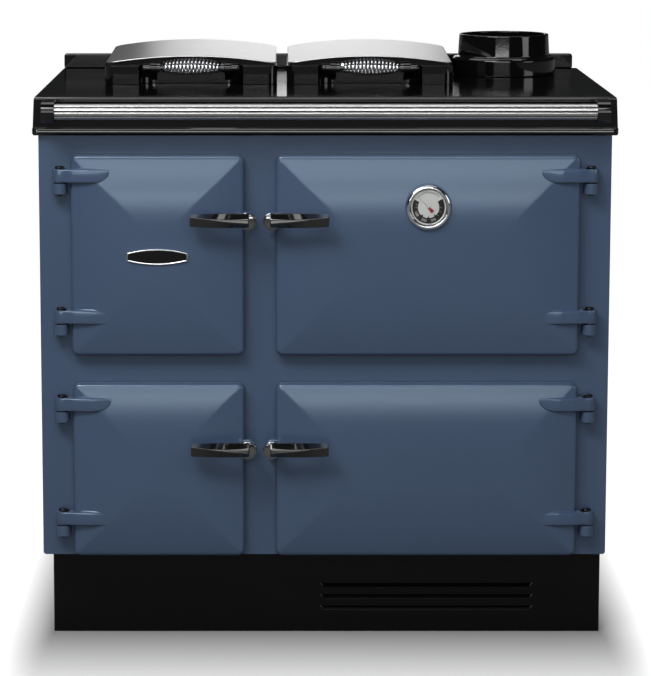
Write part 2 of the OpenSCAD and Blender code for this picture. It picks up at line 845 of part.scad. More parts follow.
hot_x0 = lid_left_x + hot_in;
hot_x1 = lid_end_x - hot_in;

module hob_plate() color(BLACK) {
  wide = half_w + 2;
  difference() {
    intersection() {
      rotate([-90, 0, 0]) stacked([
        for (r = plate_rings) [-r[0], r[0], r[1], back_y, -r[2]]
      ]);
      translate([-lip_w, plate_front, 0]) linear_extrude(hob_z + 1)
        plan_front(2 * lip_w, back_y - plate_front, 9);
    }
    translate([-wide, front_y - 2, hob_z - fascia_h - 1])
      cube([2 * wide, back_y - front_y + 3, fascia_h - plate_t + 1]);
    translate([hot_x0, hot_y, plate_under - 1])
      linear_extrude(plate_t + 2) rounded(hot_x1 - hot_x0, hot_d, 12);
    translate([flue_x, flue_y, plate_under - 1]) cylinder(r = flue_r + 4.5, h = plate_t + 2);
  }
}

// A rectangle whose two front corners are round.
module plan_front(w, d, r) {
  union() {
    translate([0, r]) square([w, d - r]);
    translate([r, 0]) square([w - 2 * r, d]);
    for (x = [r, w - r]) translate([x, r]) circle(r);
  }
}

module back_upstand() color(BLACK) {
  left_in = 2;
  right_in = 11;
  w = 2 * plate_w_top - left_in - right_in;
  r = 6;
  translate([-plate_w_top + left_in, back_y, hob_z]) difference() {
    translate([0, 0, -2 * r]) upright(w, upstand_h + 2 * r, r, upstand_t);
    translate([-1, -upstand_t - 1, -3 * r]) cube([w + 2, upstand_t + 2, 3 * r]);
  }
}

module hotplate() color(STEEL) {
  gap = 1;
  under_flange = 8;
  flange_t = 6;
  w = hot_x1 - hot_x0;
  translate([hot_x0 + gap, hot_y + gap, hot_under])
    linear_extrude(hotplate_t) rounded(w - 2 * gap, hot_d - 2 * gap, 11);
  translate([hot_x0 - under_flange, hot_y - under_flange, plate_under - flange_t])
    linear_extrude(flange_t) rounded(w + 2 * under_flange, hot_d + 2 * under_flange, 18);
}

tail_r = flue_r + 3.5;
tail_len = 24;

module flue_spigot() color(BLACK) {
  neck = collar_r + 1.5;
  translate([flue_x, flue_y, hob_z]) rotate_extrude($fn = 96) union() {
    polygon([
      [flue_r, -tail_len], [tail_r, -tail_len], [tail_r, 0], [ring_r, 0], [ring_r, ring_h - 7],
      [ring_r - 2.2, ring_h - 2.5], [ring_r - 6, ring_h - 0.5], [neck + 1.5, ring_h + 1.5],
      [neck, ring_h + 3], [collar_r, spigot_h - 3], [collar_r - 1, spigot_h - 1],
      [collar_r - 3, spigot_h], [flue_r + 2, spigot_h], [flue_r, spigot_h - 2]
    ]);
  }
}

// ---------- handrail ----------

socket_d = 12;

module handrail_tube() color(CHROME) {
  reed = 1.05;
  l = rail_len + 2 * socket_d - 1;
  translate([-l / 2, rail_y, rail_z]) rotate([0, 90, 0]) linear_extrude(l) difference() {
    circle(rail_r, $fn = 96);
    circle(rail_r - rail_wall);
    for (i = [0 : reed_n - 1])
      rotate((i + 0.5) * 360 / reed_n) translate([rail_r + 0.25 * reed, 0]) circle(reed, $fn = 16);
  }
}

module handrail_brackets() color(BLACK) {
  for (s = [0, 1]) mirror([s, 0, 0]) translate([rail_len / 2, 0, 0]) difference() {
    union() {
      bar_x(0, bracket_w, rail_y, rail_z, bracket_r);
      translate([0, rail_y, rail_z - bracket_r])
        cube([bracket_w, fascia_y - rail_y, 2 * bracket_r]);
    }
    bar_x(-1, socket_d, rail_y, rail_z, rail_r + fit);
  }
}

// ---------- lids ----------

function lid_w(k) = k == 0 ? left_lid_w : right_lid_w;
function lid_x(k) = k == 0 ? lid_left_x : lid_right_x;

module at_lid(k) {
  translate([lid_x(k), lid_y, hob_z]) children();
}

// The arch across a lid, as the part of a large disc above z = 0.
module arch(w, rise, top) {
  r = (w * w / 4 + rise * rise) / (2 * rise);
  translate([w / 2, top - r]) circle(r, $fn = 360);
}

module lid_dome(k) {
  w = lid_w(k);
  top = lid_h + dome_lift + dome_arch;
  tilt = atan(dome_rise / lid_d);
  round_in = 2;
  intersection() {
    translate([round_in, round_in / 2, 0]) linear_extrude(3 * lid_h)
      rounded(w - 2 * round_in, lid_d - 2 * round_in, lid_r);
    rotate([tilt, 0, 0]) translate([0, 2 * lid_d, 0]) rotate([90, 0, 0])
      linear_extrude(3 * lid_d) difference() {
        intersection() {
          arch(w, dome_arch, top);
          square([w, 2 * top]);
        }
        translate([0, -dome_t]) arch(w, dome_arch, top);
      }
  }
}

module lid_frame(k) {
  w = lid_w(k);
  wall = 8;
  pad_y = recess_d + wall;
  crown_in = 5;
  crown_y0 = 12;
  top = lid_h + dome_lift + dome_arch - dome_t - air;
  difference() {
    union() {
      translate([0, 0, air]) linear_extrude(lid_h - air) rounded(w, lid_d, lid_r);
      intersection() {
        translate([crown_in, lid_d - crown_in, 0]) rotate([90, 0, 0])
          linear_extrude(lid_d - crown_in - crown_y0)
            intersection() {
              translate([-crown_in, 0]) arch(w, dome_arch, top);
              square([w - 2 * crown_in, 3 * lid_h]);
            }
        translate([0, 0, lid_h - 1]) linear_extrude(3 * lid_h) rounded(w, lid_d, lid_r);
      }
      for (s = [-1, 1])
        translate([w / 2 + s * hinge_half - hinge_lug_w / 2, 0, 0]) hinge_ear(hinge_lug_w);
    }
    translate([(w - recess_w) / 2, -recess_d, -1])
      linear_extrude(lid_h + 1) rounded(recess_w, 2 * recess_d, recess_d - 2);
    translate([wall, pad_y, -1])
      linear_extrude(lid_h - wall + 1) rounded(w - 2 * wall, lid_d - pad_y - wall, lid_r - wall + 2);
    bar_x(-1, w + 1, lid_d + lid_back, hinge_h, hinge_pin_r + fit);
  }
  for (s = [-1, 1]) coil_lug(w / 2 + s * (coil_len / 2 + collar_len + coil_lug_w / 2));
}

module hinge_ear(t) {
  bar_x(0, t, lid_d + lid_back, hinge_h, hinge_r);
  translate([0, lid_d - 2, hinge_h - hinge_r + 1]) cube([t, lid_back + 2, 2 * hinge_r - 2]);
}

// A lug from the back of the finger recess out to the handle's rod.
module coil_lug(x) {
  nose = 9;
  difference() {
    translate([x - coil_lug_w / 2, 0, 0]) rotate([90, 0, 90]) linear_extrude(coil_lug_w) union() {
      translate([-coil_front, coil_z]) circle(nose);
      polygon([
        [-coil_front, coil_z + nose], [recess_d + 1, lid_h - 2], [recess_d + 1, 6],
        [-coil_front - 2, coil_z - nose + 0.5]
      ]);
    }
    bar_x(x - coil_lug_w, x + coil_lug_w, -coil_front, coil_z, rod_r + fit);
  }
}

module lid_liner(k) {
  w = lid_w(k);
  wall = 8.4;
  pad_y = recess_d + wall;
  translate([wall, pad_y, 1.5])
    linear_extrude(lid_h - 8 - 1.5 - air) rounded(w - 2 * wall, lid_d - pad_y - wall, lid_r - 6.4);
}

module lid_rod(k) {
  nut = 7;
  nut_r = 5.5;
  end = coil_len / 2 + collar_len + coil_lug_w;
  collar = coil_end_r;
  translate([lid_w(k) / 2, -coil_front, coil_z]) rotate([0, 90, 0]) rotate_extrude() polygon([
    [0, -end - nut - 1], [2, -end - nut - 0.6], [nut_r - 1, -end - nut + 3], [nut_r, -end - 2],
    [nut_r, -end - air], [rod_r, -end - air],
    [rod_r, -coil_len / 2 - collar_len + air], [collar, -coil_len / 2 - collar_len + air],
    [collar, -coil_len / 2], [rod_r, -coil_len / 2], [rod_r, coil_len / 2], [collar, coil_len / 2],
    [collar, coil_len / 2 + collar_len - air], [rod_r, coil_len / 2 + collar_len - air],
    [rod_r, end + air], [nut_r, end + air], [nut_r, end + 2], [nut_r - 1, end + nut - 3],
    [2, end + nut + 0.6], [0, end + nut + 1]
  ]);
}

// The barrel-shaped coil: a helix whose radius swells to the middle, run straight at both ends.
curl_rings = 8;
wire_sides = 6;
lead = 2 * wire_r;
wound = coil_len - 2 * lead;
coil_steps = coil_turns * curl_rings;

function coil_radius(u) =
  (coil_end_r - wire_r) + (coil_r - coil_end_r) * pow(sin(180 * u), 0.8);

function coil_point(i) =
  let (u = i / coil_steps, a = 360 * i / curl_rings, r = coil_radius(u))
    [-wound / 2 + wound * u, r * sin(a), r * cos(a)];

coil_path = concat(
  [[-coil_len / 2, 0, coil_radius(0)], [-coil_len / 2 + lead * 0.55, 0, coil_radius(0)]],
  [for (i = [0 : coil_steps]) coil_point(i)],
  [[coil_len / 2 - lead * 0.55, 0, coil_radius(1)], [coil_len / 2, 0, coil_radius(1)]]
);

function unit(v) = v / norm(v);

// Tangent at a point of the path; the two ends run along the rod.
function path_dir(i) =
  let (n = len(coil_path) - 1)
    i == 0 || i == n ? [1, 0, 0] : unit(coil_path[i + 1] - coil_path[i - 1]);

function wire_ring(i) =
  let (
    p = coil_path[i],
    t = path_dir(i),
    out = unit([0, p[1], p[2]]),
    u = unit(out - (out * t) * t),
    v = cross(t, u)
  )
    [
      for (k = [0 : wire_sides - 1])
        let (a = 360 * k / wire_sides) p + wire_r * (cos(a) * u + sin(a) * v)
    ];

// Least gap between one turn's wire and the next, measured on the path's points.
coil_gap = min([
  for (i = [0 : len(coil_path) - 6], j = [i + 5 : 1 : min(i + 12, len(coil_path) - 1)])
    norm(coil_path[i] - coil_path[j])
]) - 2 * wire_r;
echo(least_gap_between_turns = coil_gap);

module lid_spring(k) {
  translate([lid_w(k) / 2, -coil_front, coil_z])
    tube_skin([for (i = [0 : len(coil_path) - 1]) wire_ring(i)]);
}

module lid_hinge_brackets() color(BLACK) {
  ear_t = 6;
  gap = hinge_lug_w / 2 + air;
  foot_t = 3;
  for (k = [0, 1], s = [-1, 1]) at_lid(k) translate([lid_w(k) / 2 + s * hinge_half, lid_d + lid_back, 0]) {
    for (e = [-gap - ear_t, gap]) {
      bar_x(e, e + ear_t, 0, hinge_h, hinge_r);
      translate([e, -hinge_r, 0]) cube([ear_t, 2 * hinge_r, hinge_h]);
    }
    translate([-gap - ear_t, -hinge_r, 0]) cube([2 * (gap + ear_t), 2.6 * hinge_r, foot_t]);
    bar_x(-gap - ear_t, gap + ear_t, 0, hinge_h, hinge_pin_r);
  }
}

module left_lid_dome() color(STEEL) at_lid(0) lid_dome(0);
module left_lid_frame() color(BLACK) at_lid(0) lid_frame(0);
module left_lid_liner() color(STEEL) at_lid(0) lid_liner(0);
module left_lid_spring() color(CHROME) at_lid(0) lid_spring(0);
module left_lid_rod() color(CHROME) at_lid(0) lid_rod(0);
module right_lid_dome() color(STEEL) at_lid(1) lid_dome(1);
module right_lid_frame() color(BLACK) at_lid(1) lid_frame(1);
module right_lid_liner() color(STEEL) at_lid(1) lid_liner(1);
module right_lid_spring() color(CHROME) at_lid(1) lid_spring(1);
module right_lid_rod() color(CHROME) at_lid(1) lid_rod(1);

// ---------- inside ----------

// An open-fronted box with a flange that meets the back of the front plate.
module open_box(w, d, h, wall, r) {
  difference() {
    translate([0, d, 0]) upright(w, h, r, d);
    translate([wall, d - wall, wall]) upright(w - 2 * wall, h - 2 * wall, r - 2, d);
  }
}

module main_oven() color(IRON) {
  h = oven_top - high_z - door_lap + oven_in;
  translate([oven_x, inner_y, oven_top - h]) {
    open_box(oven_w, oven_d, h, oven_wall, 14);
    for (i = [0 : 3], x = [oven_wall - eps, oven_w - oven_wall - runner_w + eps])
      translate([x, 12, runner_z(i, h)]) cube([runner_w, oven_d - 30, runner_t]);
  }
}

runner_w = 9;
runner_t = 5;
function runner_z(i, h) = oven_wall + (h - 2 * oven_wall) * (0.2 + 0.2 * i);

// Wire shelf resting on the second pair of runners.
module oven_shelf() color(STEEL) {
  h = oven_top - high_z - door_lap + oven_in;
  side_gap = 3;
  x0 = oven_x + oven_wall + side_gap;
  x1 = oven_x + oven_w - oven_wall - side_gap;
  r = shelf_bar / 2;
  z = oven_top - h + runner_z(1, h) + runner_t + r;
  y0 = inner_y + 30;
  y1 = inner_y + oven_d - 30;
  for (y = [y0, (y0 + y1) / 2, y1]) bar_x(x0, x1, y, z, r);
  for (i = [0 : shelf_n - 1]) {
    x = x0 + r + (x1 - x0 - 2 * r) * i / (shelf_n - 1);
    bar_y(x, z, y0, y1, r * 0.8);
  }
}

module warming_oven() color(IRON) {
  h = lower_door_h - 2 * door_lap + 2 * oven_in;
  translate([oven_x, inner_y, low_z + door_lap - oven_in])
    open_box(oven_w, oven_d, h, oven_wall, 14);
}

// Cast chamber behind the upper left door, open to the hotplate above and the flueway beside it.
module combustion_chamber() color(IRON) {
  w = chamber_w;
  d = hot_y + hot_d - inner_y + 4;
  h = hot_under - chamber_z;
  mouth_z = high_z + door_lap - chamber_z;
  top_x = max(chamber_wall, hot_x0 + hot_lip - chamber_x);
  translate([chamber_x, inner_y, chamber_z]) difference() {
    cube([w, d, h]);
    translate([chamber_wall, chamber_wall, chamber_wall])
      cube([w - 2 * chamber_wall, d - 2 * chamber_wall, h - 2 * chamber_wall]);
    translate([top_x, hot_y + hot_lip - inner_y, h - chamber_wall - 1])
      cube([w - chamber_wall - top_x, hot_d - 2 * hot_lip, chamber_wall + 2]);
    translate([oven_in, -1, mouth_z])
      cube([w - 2 * oven_in, chamber_wall + 2, upper_door_h - 2 * door_lap]);
    translate([w - chamber_wall - 1, hot_y - inner_y + way_in, oven_top + oven_wall - chamber_z])
      cube([chamber_wall + 2, hot_d - 2 * way_in, hot_under - oven_top - oven_wall - chamber_wall]);
    translate([w / 2, pot_y - inner_y, -1]) cylinder(r = pot_r + 3, h = chamber_wall + 2);
  }
}

// Sheet flueway over the main oven, from the chamber to the spigot.
module flue_box() color(STEEL) {
  x0 = chamber_x + chamber_w;
  x1 = min(flue_x + tail_r + 16, half_w - panel_t - 1);
  y0 = hot_y - 10;
  y1 = min(flue_y + tail_r + 14, back_y - sheet_t - 4);
  z0 = oven_top;
  h = hot_under - z0;
  translate([x0, y0, z0]) difference() {
    cube([x1 - x0, y1 - y0, h]);
    translate([-1, sheet_t, sheet_t]) cube([x1 - x0 - sheet_t + 1, y1 - y0 - 2 * sheet_t, h - 2 * sheet_t]);
    translate([-1, way_in, h - 2 * sheet_t]) cube([hot_x1 - x0 - way_in, hot_d - 2 * way_in, 3 * sheet_t]);
    translate([flue_x - x0, flue_y - y0, h - 2 * sheet_t]) cylinder(r = tail_r + air, h = 3 * sheet_t);
  }
}

module burner_pot() color(IRON) {
  wall = 4;
  top = chamber_z + chamber_wall;
  leg_r = 8;
  translate([pot_x, pot_y, top - pot_h]) rotate_extrude() polygon([
    [0, 0], [pot_r - 10, 0], [pot_r, 10], [pot_r, pot_h], [pot_r - wall, pot_h],
    [pot_r - wall, 12], [pot_r - 12, wall], [0, wall]
  ]);
  for (a = [45 : 90 : 315])
    translate([pot_x + 0.7 * pot_r * cos(a), pot_y + 0.7 * pot_r * sin(a), floor_z])
      cylinder(r = leg_r, h = top - pot_h - floor_z + 1);
}

// Perforated burner shells standing in the pot.
module burner_shells() color(STEEL) {
  wall = 2;
  base = chamber_z + chamber_wall - pot_h + 4;
  stand_out = 40;
  tall = pot_h + stand_out;
  rows = 4;
  holes = 12;
  for (r = [0.45 * pot_r, 0.8 * pot_r])
    translate([pot_x, pot_y, base]) difference() {
      cylinder(r = r, h = tall);
      translate([0, 0, -1]) cylinder(r = r - wall, h = tall + 2);
      for (i = [0 : rows - 1], a = [0 : 360 / holes : 359])
        rotate([0, 0, a]) translate([r - wall - 1, 0, tall * (0.3 + 0.17 * i)])
          rotate([0, 90, 0]) cylinder(r = 3, h = wall + 2, $fn = 16);
    }
}

// Oil level control on the floor plate with its feed pipe to the pot.
module oil_control() color(STEEL) {
  box = [110, 80, 90];
  stand = 30;
  pipe_r = 5;
  elbow = 14;
  x = pot_x - box[0] / 2;
  y = inner_y + 30;
  z = floor_z + stand;
  pipe_z = chamber_z + chamber_wall - pot_h + 14 + pipe_r;
  translate([x, y, z]) cube(box);
  for (dx = [12, box[0] - 12]) translate([x + dx, y + box[1] / 2, floor_z]) cylinder(r = 6, h = stand + 1);
  translate([pot_x, y + box[1] / 2, z + box[2] - 1]) cylinder(r = 24, h = 17);
  translate([pot_x, y + box[1] / 2, z + box[2] + 15]) cylinder(r = pipe_r, h = pipe_z - z - box[2] - 15);
  translate([pot_x - elbow / 2, y + box[1] / 2 - elbow / 2, pipe_z - elbow / 2]) cube(elbow);
  bar_y(pot_x, pipe_z, y + box[1] / 2, pot_y - pot_r - air, pipe_r);
}

plinth_front();
plinth_frame();
levelling_feet();
base_plate();
front_plate();
side_panel_left();
side_panel_right();
back_panel();
hob_plate();
back_upstand();
handrail_tube();
handrail_brackets();
hotplate();
flue_spigot();
flue_box();
combustion_chamber();
burner_pot();
burner_shells();
oil_control();
main_oven();
oven_shelf();
warming_oven();
hinge_pins();
door_catches();
lid_hinge_brackets();
fire_door();
fire_door_liner();
fire_door_seal();
fire_door_handle();
fire_door_latch();
burner_door();
burner_door_liner();
burner_door_seal();
burner_door_handle();
burner_door_latch();
oven_door();
oven_door_liner();
oven_door_seal();
oven_door_handle();
oven_door_latch();
warming_door();
warming_door_liner();
warming_door_seal();
warming_door_handle();
warming_door_latch();
badge_plate();
thermometer_bezel();
thermometer_dial();
thermometer_glass();
thermometer_needle();
left_lid_dome();
left_lid_frame();
left_lid_liner();
left_lid_spring();
left_lid_rod();
right_lid_dome();
right_lid_frame();
right_lid_liner();
right_lid_spring();
right_lid_rod();
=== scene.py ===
# %% [markdown]
# # A cast iron range cooker, dressed
#
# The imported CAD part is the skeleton: it has every size and every joint.
# This lesson gives it its skin: glass-smooth enamel, brushed stainless, chrome and black glaze.
# We keep the CAD solids that already look right and soften their edges, and build the pieces that the eye
# dwells on again, finer: the pillowed doors, the twisted levers and the barrel-shaped lid springs.

import json
import math

import bmesh
import bpy
import numpy as np
from mathutils import Matrix, Vector


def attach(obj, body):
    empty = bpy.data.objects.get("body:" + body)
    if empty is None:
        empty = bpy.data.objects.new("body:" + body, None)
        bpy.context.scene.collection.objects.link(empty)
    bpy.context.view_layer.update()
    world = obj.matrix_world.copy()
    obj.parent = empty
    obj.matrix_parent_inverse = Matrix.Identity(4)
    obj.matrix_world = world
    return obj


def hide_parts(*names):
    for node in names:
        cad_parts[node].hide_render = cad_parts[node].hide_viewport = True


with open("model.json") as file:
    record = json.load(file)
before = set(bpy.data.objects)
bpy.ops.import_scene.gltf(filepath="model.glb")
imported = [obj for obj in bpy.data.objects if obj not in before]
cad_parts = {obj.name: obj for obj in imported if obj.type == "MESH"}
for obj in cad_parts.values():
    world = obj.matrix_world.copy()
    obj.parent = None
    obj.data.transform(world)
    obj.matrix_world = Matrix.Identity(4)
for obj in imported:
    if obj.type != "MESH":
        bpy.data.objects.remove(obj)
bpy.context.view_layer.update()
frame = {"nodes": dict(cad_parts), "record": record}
nodes = frame["nodes"]
print("CAD nodes:", len(nodes))

# %% [markdown]
# ## Units and nodes
#
# The part is drawn in millimetres, and Blender works in metres. One function wires every node graph below.

# %% Units and nodes
VECTOR_MATH = "ShaderNodeVectorMath"


def mm(*values):
    """Millimetres to metres."""
    out = tuple(v / 1000 for v in values)
    return out if len(out) > 1 else out[0]


def add_node(tree, kind, inputs=(), **settings):
    """Adds a node with its settings. An input is linked to a socket or set to a value."""
    node = tree.nodes.new(kind)
    for key, value in settings.items():
        setattr(node, key, value)
    for key, value in dict(inputs).items():
        if isinstance(value, bpy.types.NodeSocket):
            tree.links.new(value, node.inputs[key])
        else:
            node.inputs[key].default_value = value
    return node


def calc(tree, operation, *terms, kind="ShaderNodeMath"):
    """The first output of a Math or Vector Math node on some terms."""
    return add_node(tree, kind, enumerate(terms), operation=operation).outputs[0]


def seen_by(tree, mirrored):
    """1 for the camera, the mirrored share for what shines, and 0 for the light that falls on things."""
    ray = add_node(tree, "ShaderNodeLightPath").outputs
    shine = calc(tree, "MAXIMUM", ray["Is Glossy Ray"], ray["Is Transmission Ray"])
    return calc(tree, "MAXIMUM", ray["Is Camera Ray"], calc(tree, "MULTIPLY", shine, mirrored))


# %% [markdown]
# ## The camera
#
# A product shot of a cooker is taken from chest height with a long lens, and the film is shifted so that the
# sides stay upright. We take part of that as lens shift and the rest as a slight tilt, and place the camera
# where the hob's surface shows as the thin band that the photograph has.

# %% Camera
PHOTO = (651, 676)
SENSOR, FOCAL_PX = 36, 2734
CAM_PLACE, CAM_DOWN = (-0.068, -4.863, 1.353), 8.26

cam_data = bpy.data.cameras.new("camera")
cam_data.sensor_width = SENSOR
cam_data.lens = SENSOR * FOCAL_PX / max(PHOTO)
cam_data.shift_x = 0.06
cam_data.shift_y = -0.13
cam = bpy.data.objects.new("camera", cam_data)
cam.location = CAM_PLACE
cam.rotation_euler = (math.radians(90 - CAM_DOWN), 0, 0)
bpy.context.scene.collection.objects.link(cam)
bpy.context.scene.camera = cam
print("lens", round(cam_data.lens, 1), "mm")

# %% [markdown]
# ## Backdrop and light
#
# The cooker stands in a white studio. The camera sees white all round. What shines shows the backdrop too:
# it is white high up behind the cooker and fades towards the floor, the sides and the dim room in front.
# The enamel's own shapes are drawn by a few large soft boxes. A narrow low one brightens the lower doors' upper
# slopes: it hangs just below the height at which the hob would mirror it.

# %% World
ROOM_COLOUR, ROOM_LIGHT = (0.93, 0.96, 1.0, 1), 0.02
MIRRORED_WALL, MIRRORED_FLOOR = 0.3, 0.15

scene = bpy.context.scene
scene.view_settings.view_transform = "Standard"
world = bpy.data.worlds.new("studio")
scene.world = world
world.use_nodes = True
sky = world.node_tree
sky.nodes.clear()
way = add_node(sky, "ShaderNodeTexCoord").outputs["Generated"]
axes = add_node(sky, "ShaderNodeSeparateXYZ", {"Vector": way}).outputs


def smooth_step(value, start, end):
    """0 below start, 1 above end, and a smooth rise between them."""
    span = {"Value": value, "From Min": start, "From Max": end}
    return add_node(sky, "ShaderNodeMapRange", span, interpolation_type="SMOOTHSTEP").outputs["Result"]


wall = calc(sky, "MULTIPLY", smooth_step(axes["Z"], 0.12, 0.45), smooth_step(axes["Y"], 0.86, 1.0))
shown = seen_by(sky, calc(sky, "MULTIPLY", wall, MIRRORED_WALL))
room = add_node(sky, "ShaderNodeBackground", {"Color": ROOM_COLOUR, "Strength": ROOM_LIGHT})
white = add_node(sky, "ShaderNodeBackground", {"Color": (1, 1, 1, 1)})
seen = add_node(sky, "ShaderNodeMixShader", {"Fac": shown, 1: room.outputs[0], 2: white.outputs[0]})
add_node(sky, "ShaderNodeOutputWorld", {"Surface": seen.outputs[0]})
print("world nodes", len(sky.nodes))

# %% Lamps


def soft_box(name, place, aim, size, power, shape="RECTANGLE"):
    """An area lamp that looks from a place towards an aim, in metres and watts."""
    lamp = bpy.data.lights.new(name, "AREA")
    lamp.shape = shape
    lamp.size, lamp.size_y = size
    lamp.energy = power
    obj = bpy.data.objects.new(name, lamp)
    obj.location = place
    obj.rotation_euler = (Vector(aim) - Vector(place)).to_track_quat("-Z", "Y").to_euler()
    scene.collection.objects.link(obj)


soft_box("key", (-1.45, -2.1, 3.0), (-0.1, -0.3, 0.7), (1.5, 1.1), 50)
soft_box("high", (-0.3, -2.9, 3.2), (-0.05, -0.3, 0.7), (2.4, 0.9), 33)
soft_box("front", (-0.4, -4.7, 1.95), (-0.1, -0.3, 0.6), (3.4, 0.9), 27)
soft_box("low", (-0.4, -4.7, 1.07), (-0.1, -0.3, 0.6), (3.0, 0.24), 14)
soft_box("overhead", (-0.05, 0.45, 2.8), (-0.05, 0.451, 0.8), (2.4, 1.3), 17)
soft_box("fill", (3.1, -1.9, 1.6), (0.2, -0.2, 0.5), (1.6, 1.4), 13, shape="ELLIPSE")
soft_box("behind", (0.02, 2.9, 1.55), (0.0, 0.1, 0.97), (1.12, 0.7), 2.8, shape="ELLIPSE")

# %% [markdown]
# ## Mesh helpers
#
# Most pieces are made from rings of points joined by quads, so one helper does that.
# Another takes a CAD node whose shape is right and rounds its edges a little: no real casting has a knife-sharp
# edge, and the thin highlight along a rounded edge is what makes it read as metal.

# %% Rings of points


def add_object(name, verts, faces, smooth=True, sharp=35, merge=1e-6):
    """A mesh object with its doubled points merged. Edges sharper than `sharp` degrees stay sharp."""
    mesh = bpy.data.meshes.new(name)
    mesh.from_pydata([tuple(v) for v in verts], [], faces)
    mesh.validate()
    bm = bmesh.new()
    bm.from_mesh(mesh)
    bmesh.ops.remove_doubles(bm, verts=bm.verts, dist=merge)
    bmesh.ops.recalc_face_normals(bm, faces=bm.faces)
    bm.to_mesh(mesh)
    bm.free()
    if smooth:
        mesh.shade_smooth()
        mesh.set_sharp_from_angle(angle=math.radians(sharp))
    obj = bpy.data.objects.new(name, mesh)
    scene.collection.objects.link(obj)
    return obj


def turn_angles(steps):
    """The angles of a full turn in equal steps."""
    return [2 * math.pi * k / steps for k in range(steps)]


def ring_faces(n_rings, n, wrap=0):
    """Quads between rings of n points each. With wrap, the vertex count, the last ring is the first one."""
    faces = []
    for i in range(n_rings - 1):
        for k in range(n):
            a, b = i * n + k, i * n + (k + 1) % n
            quad = (a, b, b + n, a + n)
            faces.append(tuple(q % wrap for q in quad) if wrap else quad)
    return faces


def sleeve(rings):
    """Vertices and faces through a list of equal rings, open at both ends."""
    return [p for ring in rings for p in ring], ring_faces(len(rings), len(rings[0]))


def loft(rings):
    """The same, closed at both ends."""
    n = len(rings[0])
    verts, faces = sleeve(rings)
    faces.append(tuple(range(n))[::-1])
    faces.append(tuple(len(verts) - n + k for k in range(n)))
    return verts, faces


def lathe(profile, centre, axis="Z", steps=96, closed=False):
    """A profile [(radius, height)] in mm spun round an axis through centre. Axis "-Y" faces the front."""
    rings = []
    for r, h in profile:
        ring = []
        for a in turn_angles(steps):
            u, v = mm(max(r, 1e-6) * math.cos(a), max(r, 1e-6) * math.sin(a))
            p = {"Z": (u, v, mm(h)), "-Y": (u, -mm(h), v), "X": (mm(h), u, v)}[axis]
            ring.append(tuple(c + q for c, q in zip(centre, p)))
        rings.append(ring)
    if closed:
        return sleeve(rings)[0], ring_faces(len(rings) + 1, steps, wrap=len(rings) * steps)
    return loft(rings)


def merged(*parts):
    """Several (verts, faces) as one."""
    verts, faces = [], []
    for v, f in parts:
        base = len(verts)
        verts += list(v)
        faces += [tuple(i + base for i in face) for face in f]
    return verts, faces


def eased(points, reach):
    """Rounds the corners of a closed line over a fixed reach, and keeps its straight runs straight."""
    steps, most_of_side, hold, hold_of_side = 4, 0.3, 0.4, 0.15
    out = []
    points = [Vector(p) for p in points]
    for before, p, after in zip(points[-1:] + points[:-1], points, points[1:] + points[:1]):
        side = min((before - p).length, (after - p).length)
        r = min(reach, most_of_side * side)
        straight = r + min(hold, hold_of_side * side)
        a, b = (before - p).normalized(), (after - p).normalized()
        out.append(p + a * straight)
        out += [p + a * r * (1 - k / steps) ** 2 + b * r * (k / steps) ** 2 for k in range(steps + 1)]
        out.append(p + b * straight)
    return [tuple(v) for v in out]


# %% Pieces that keep their CAD shape
BODIES = frame["record"]["behaviour"]["bodies"]
WELD, SAME_PLANE, EDGE_ANGLE = 2e-5, 1, 38


def body_of(node):
    return next(b for b, names in BODIES.items() if node in names)


def flat(obj):
    """Applies an object's modifiers: its evaluated mesh becomes its own."""
    dg = bpy.context.evaluated_depsgraph_get()
    mesh = bpy.data.meshes.new_from_object(obj.evaluated_get(dg))
    obj.modifiers.clear()
    obj.data = mesh
    return obj


def softened(node, width):
    """A copy of a CAD node with its edges rounded."""
    bm = bmesh.new()
    bm.from_mesh(nodes[node].data)
    bmesh.ops.remove_doubles(bm, verts=bm.verts, dist=WELD)
    bmesh.ops.dissolve_limit(bm, angle_limit=math.radians(SAME_PLANE), verts=bm.verts, edges=bm.edges)
    mesh = bpy.data.meshes.new(node + "_soft")
    bm.to_mesh(mesh)
    bm.free()
    obj = bpy.data.objects.new(node + "_soft", mesh)
    scene.collection.objects.link(obj)
    mod = obj.modifiers.new("edge", "BEVEL")
    mod.width = width
    mod.segments = 2
    mod.limit_method = "ANGLE"
    mod.angle_limit = math.radians(EDGE_ANGLE)
    mod.miter_outer = "MITER_ARC"
    mod.use_clamp_overlap = True
    mesh.shade_smooth()
    even = obj.modifiers.new("normals", "WEIGHTED_NORMAL")
    even.mode = "FACE_AREA"
    even.weight = 100
    return flat(obj)


# %% [markdown]
# ## Finishes
#
# Vitreous enamel is glass fused on iron: a smooth coat over colour that wanders a little, with the faint
# orange peel of a sprayed and fired surface. Each effect that several finishes share is a node group.

# %% Node groups
FLOAT, WHOLE, VECTOR = "NodeSocketFloat", "NodeSocketInt", "NodeSocketVector"
COLOUR, SHAPE, FINISH = "NodeSocketColor", "NodeSocketGeometry", "NodeSocketMaterial"


def new_tree(kind, name, inputs, outputs):
    """A node group, and the sockets that bring in what it is given."""
    tree = bpy.data.node_groups.new(name, kind)
    for label, socket, *default in inputs:
        made = tree.interface.new_socket(label, in_out="INPUT", socket_type=socket)
        if default:
            made.default_value = default[0]
    for label, socket in outputs:
        tree.interface.new_socket(label, in_out="OUTPUT", socket_type=socket)
    return tree, add_node(tree, "NodeGroupInput").outputs


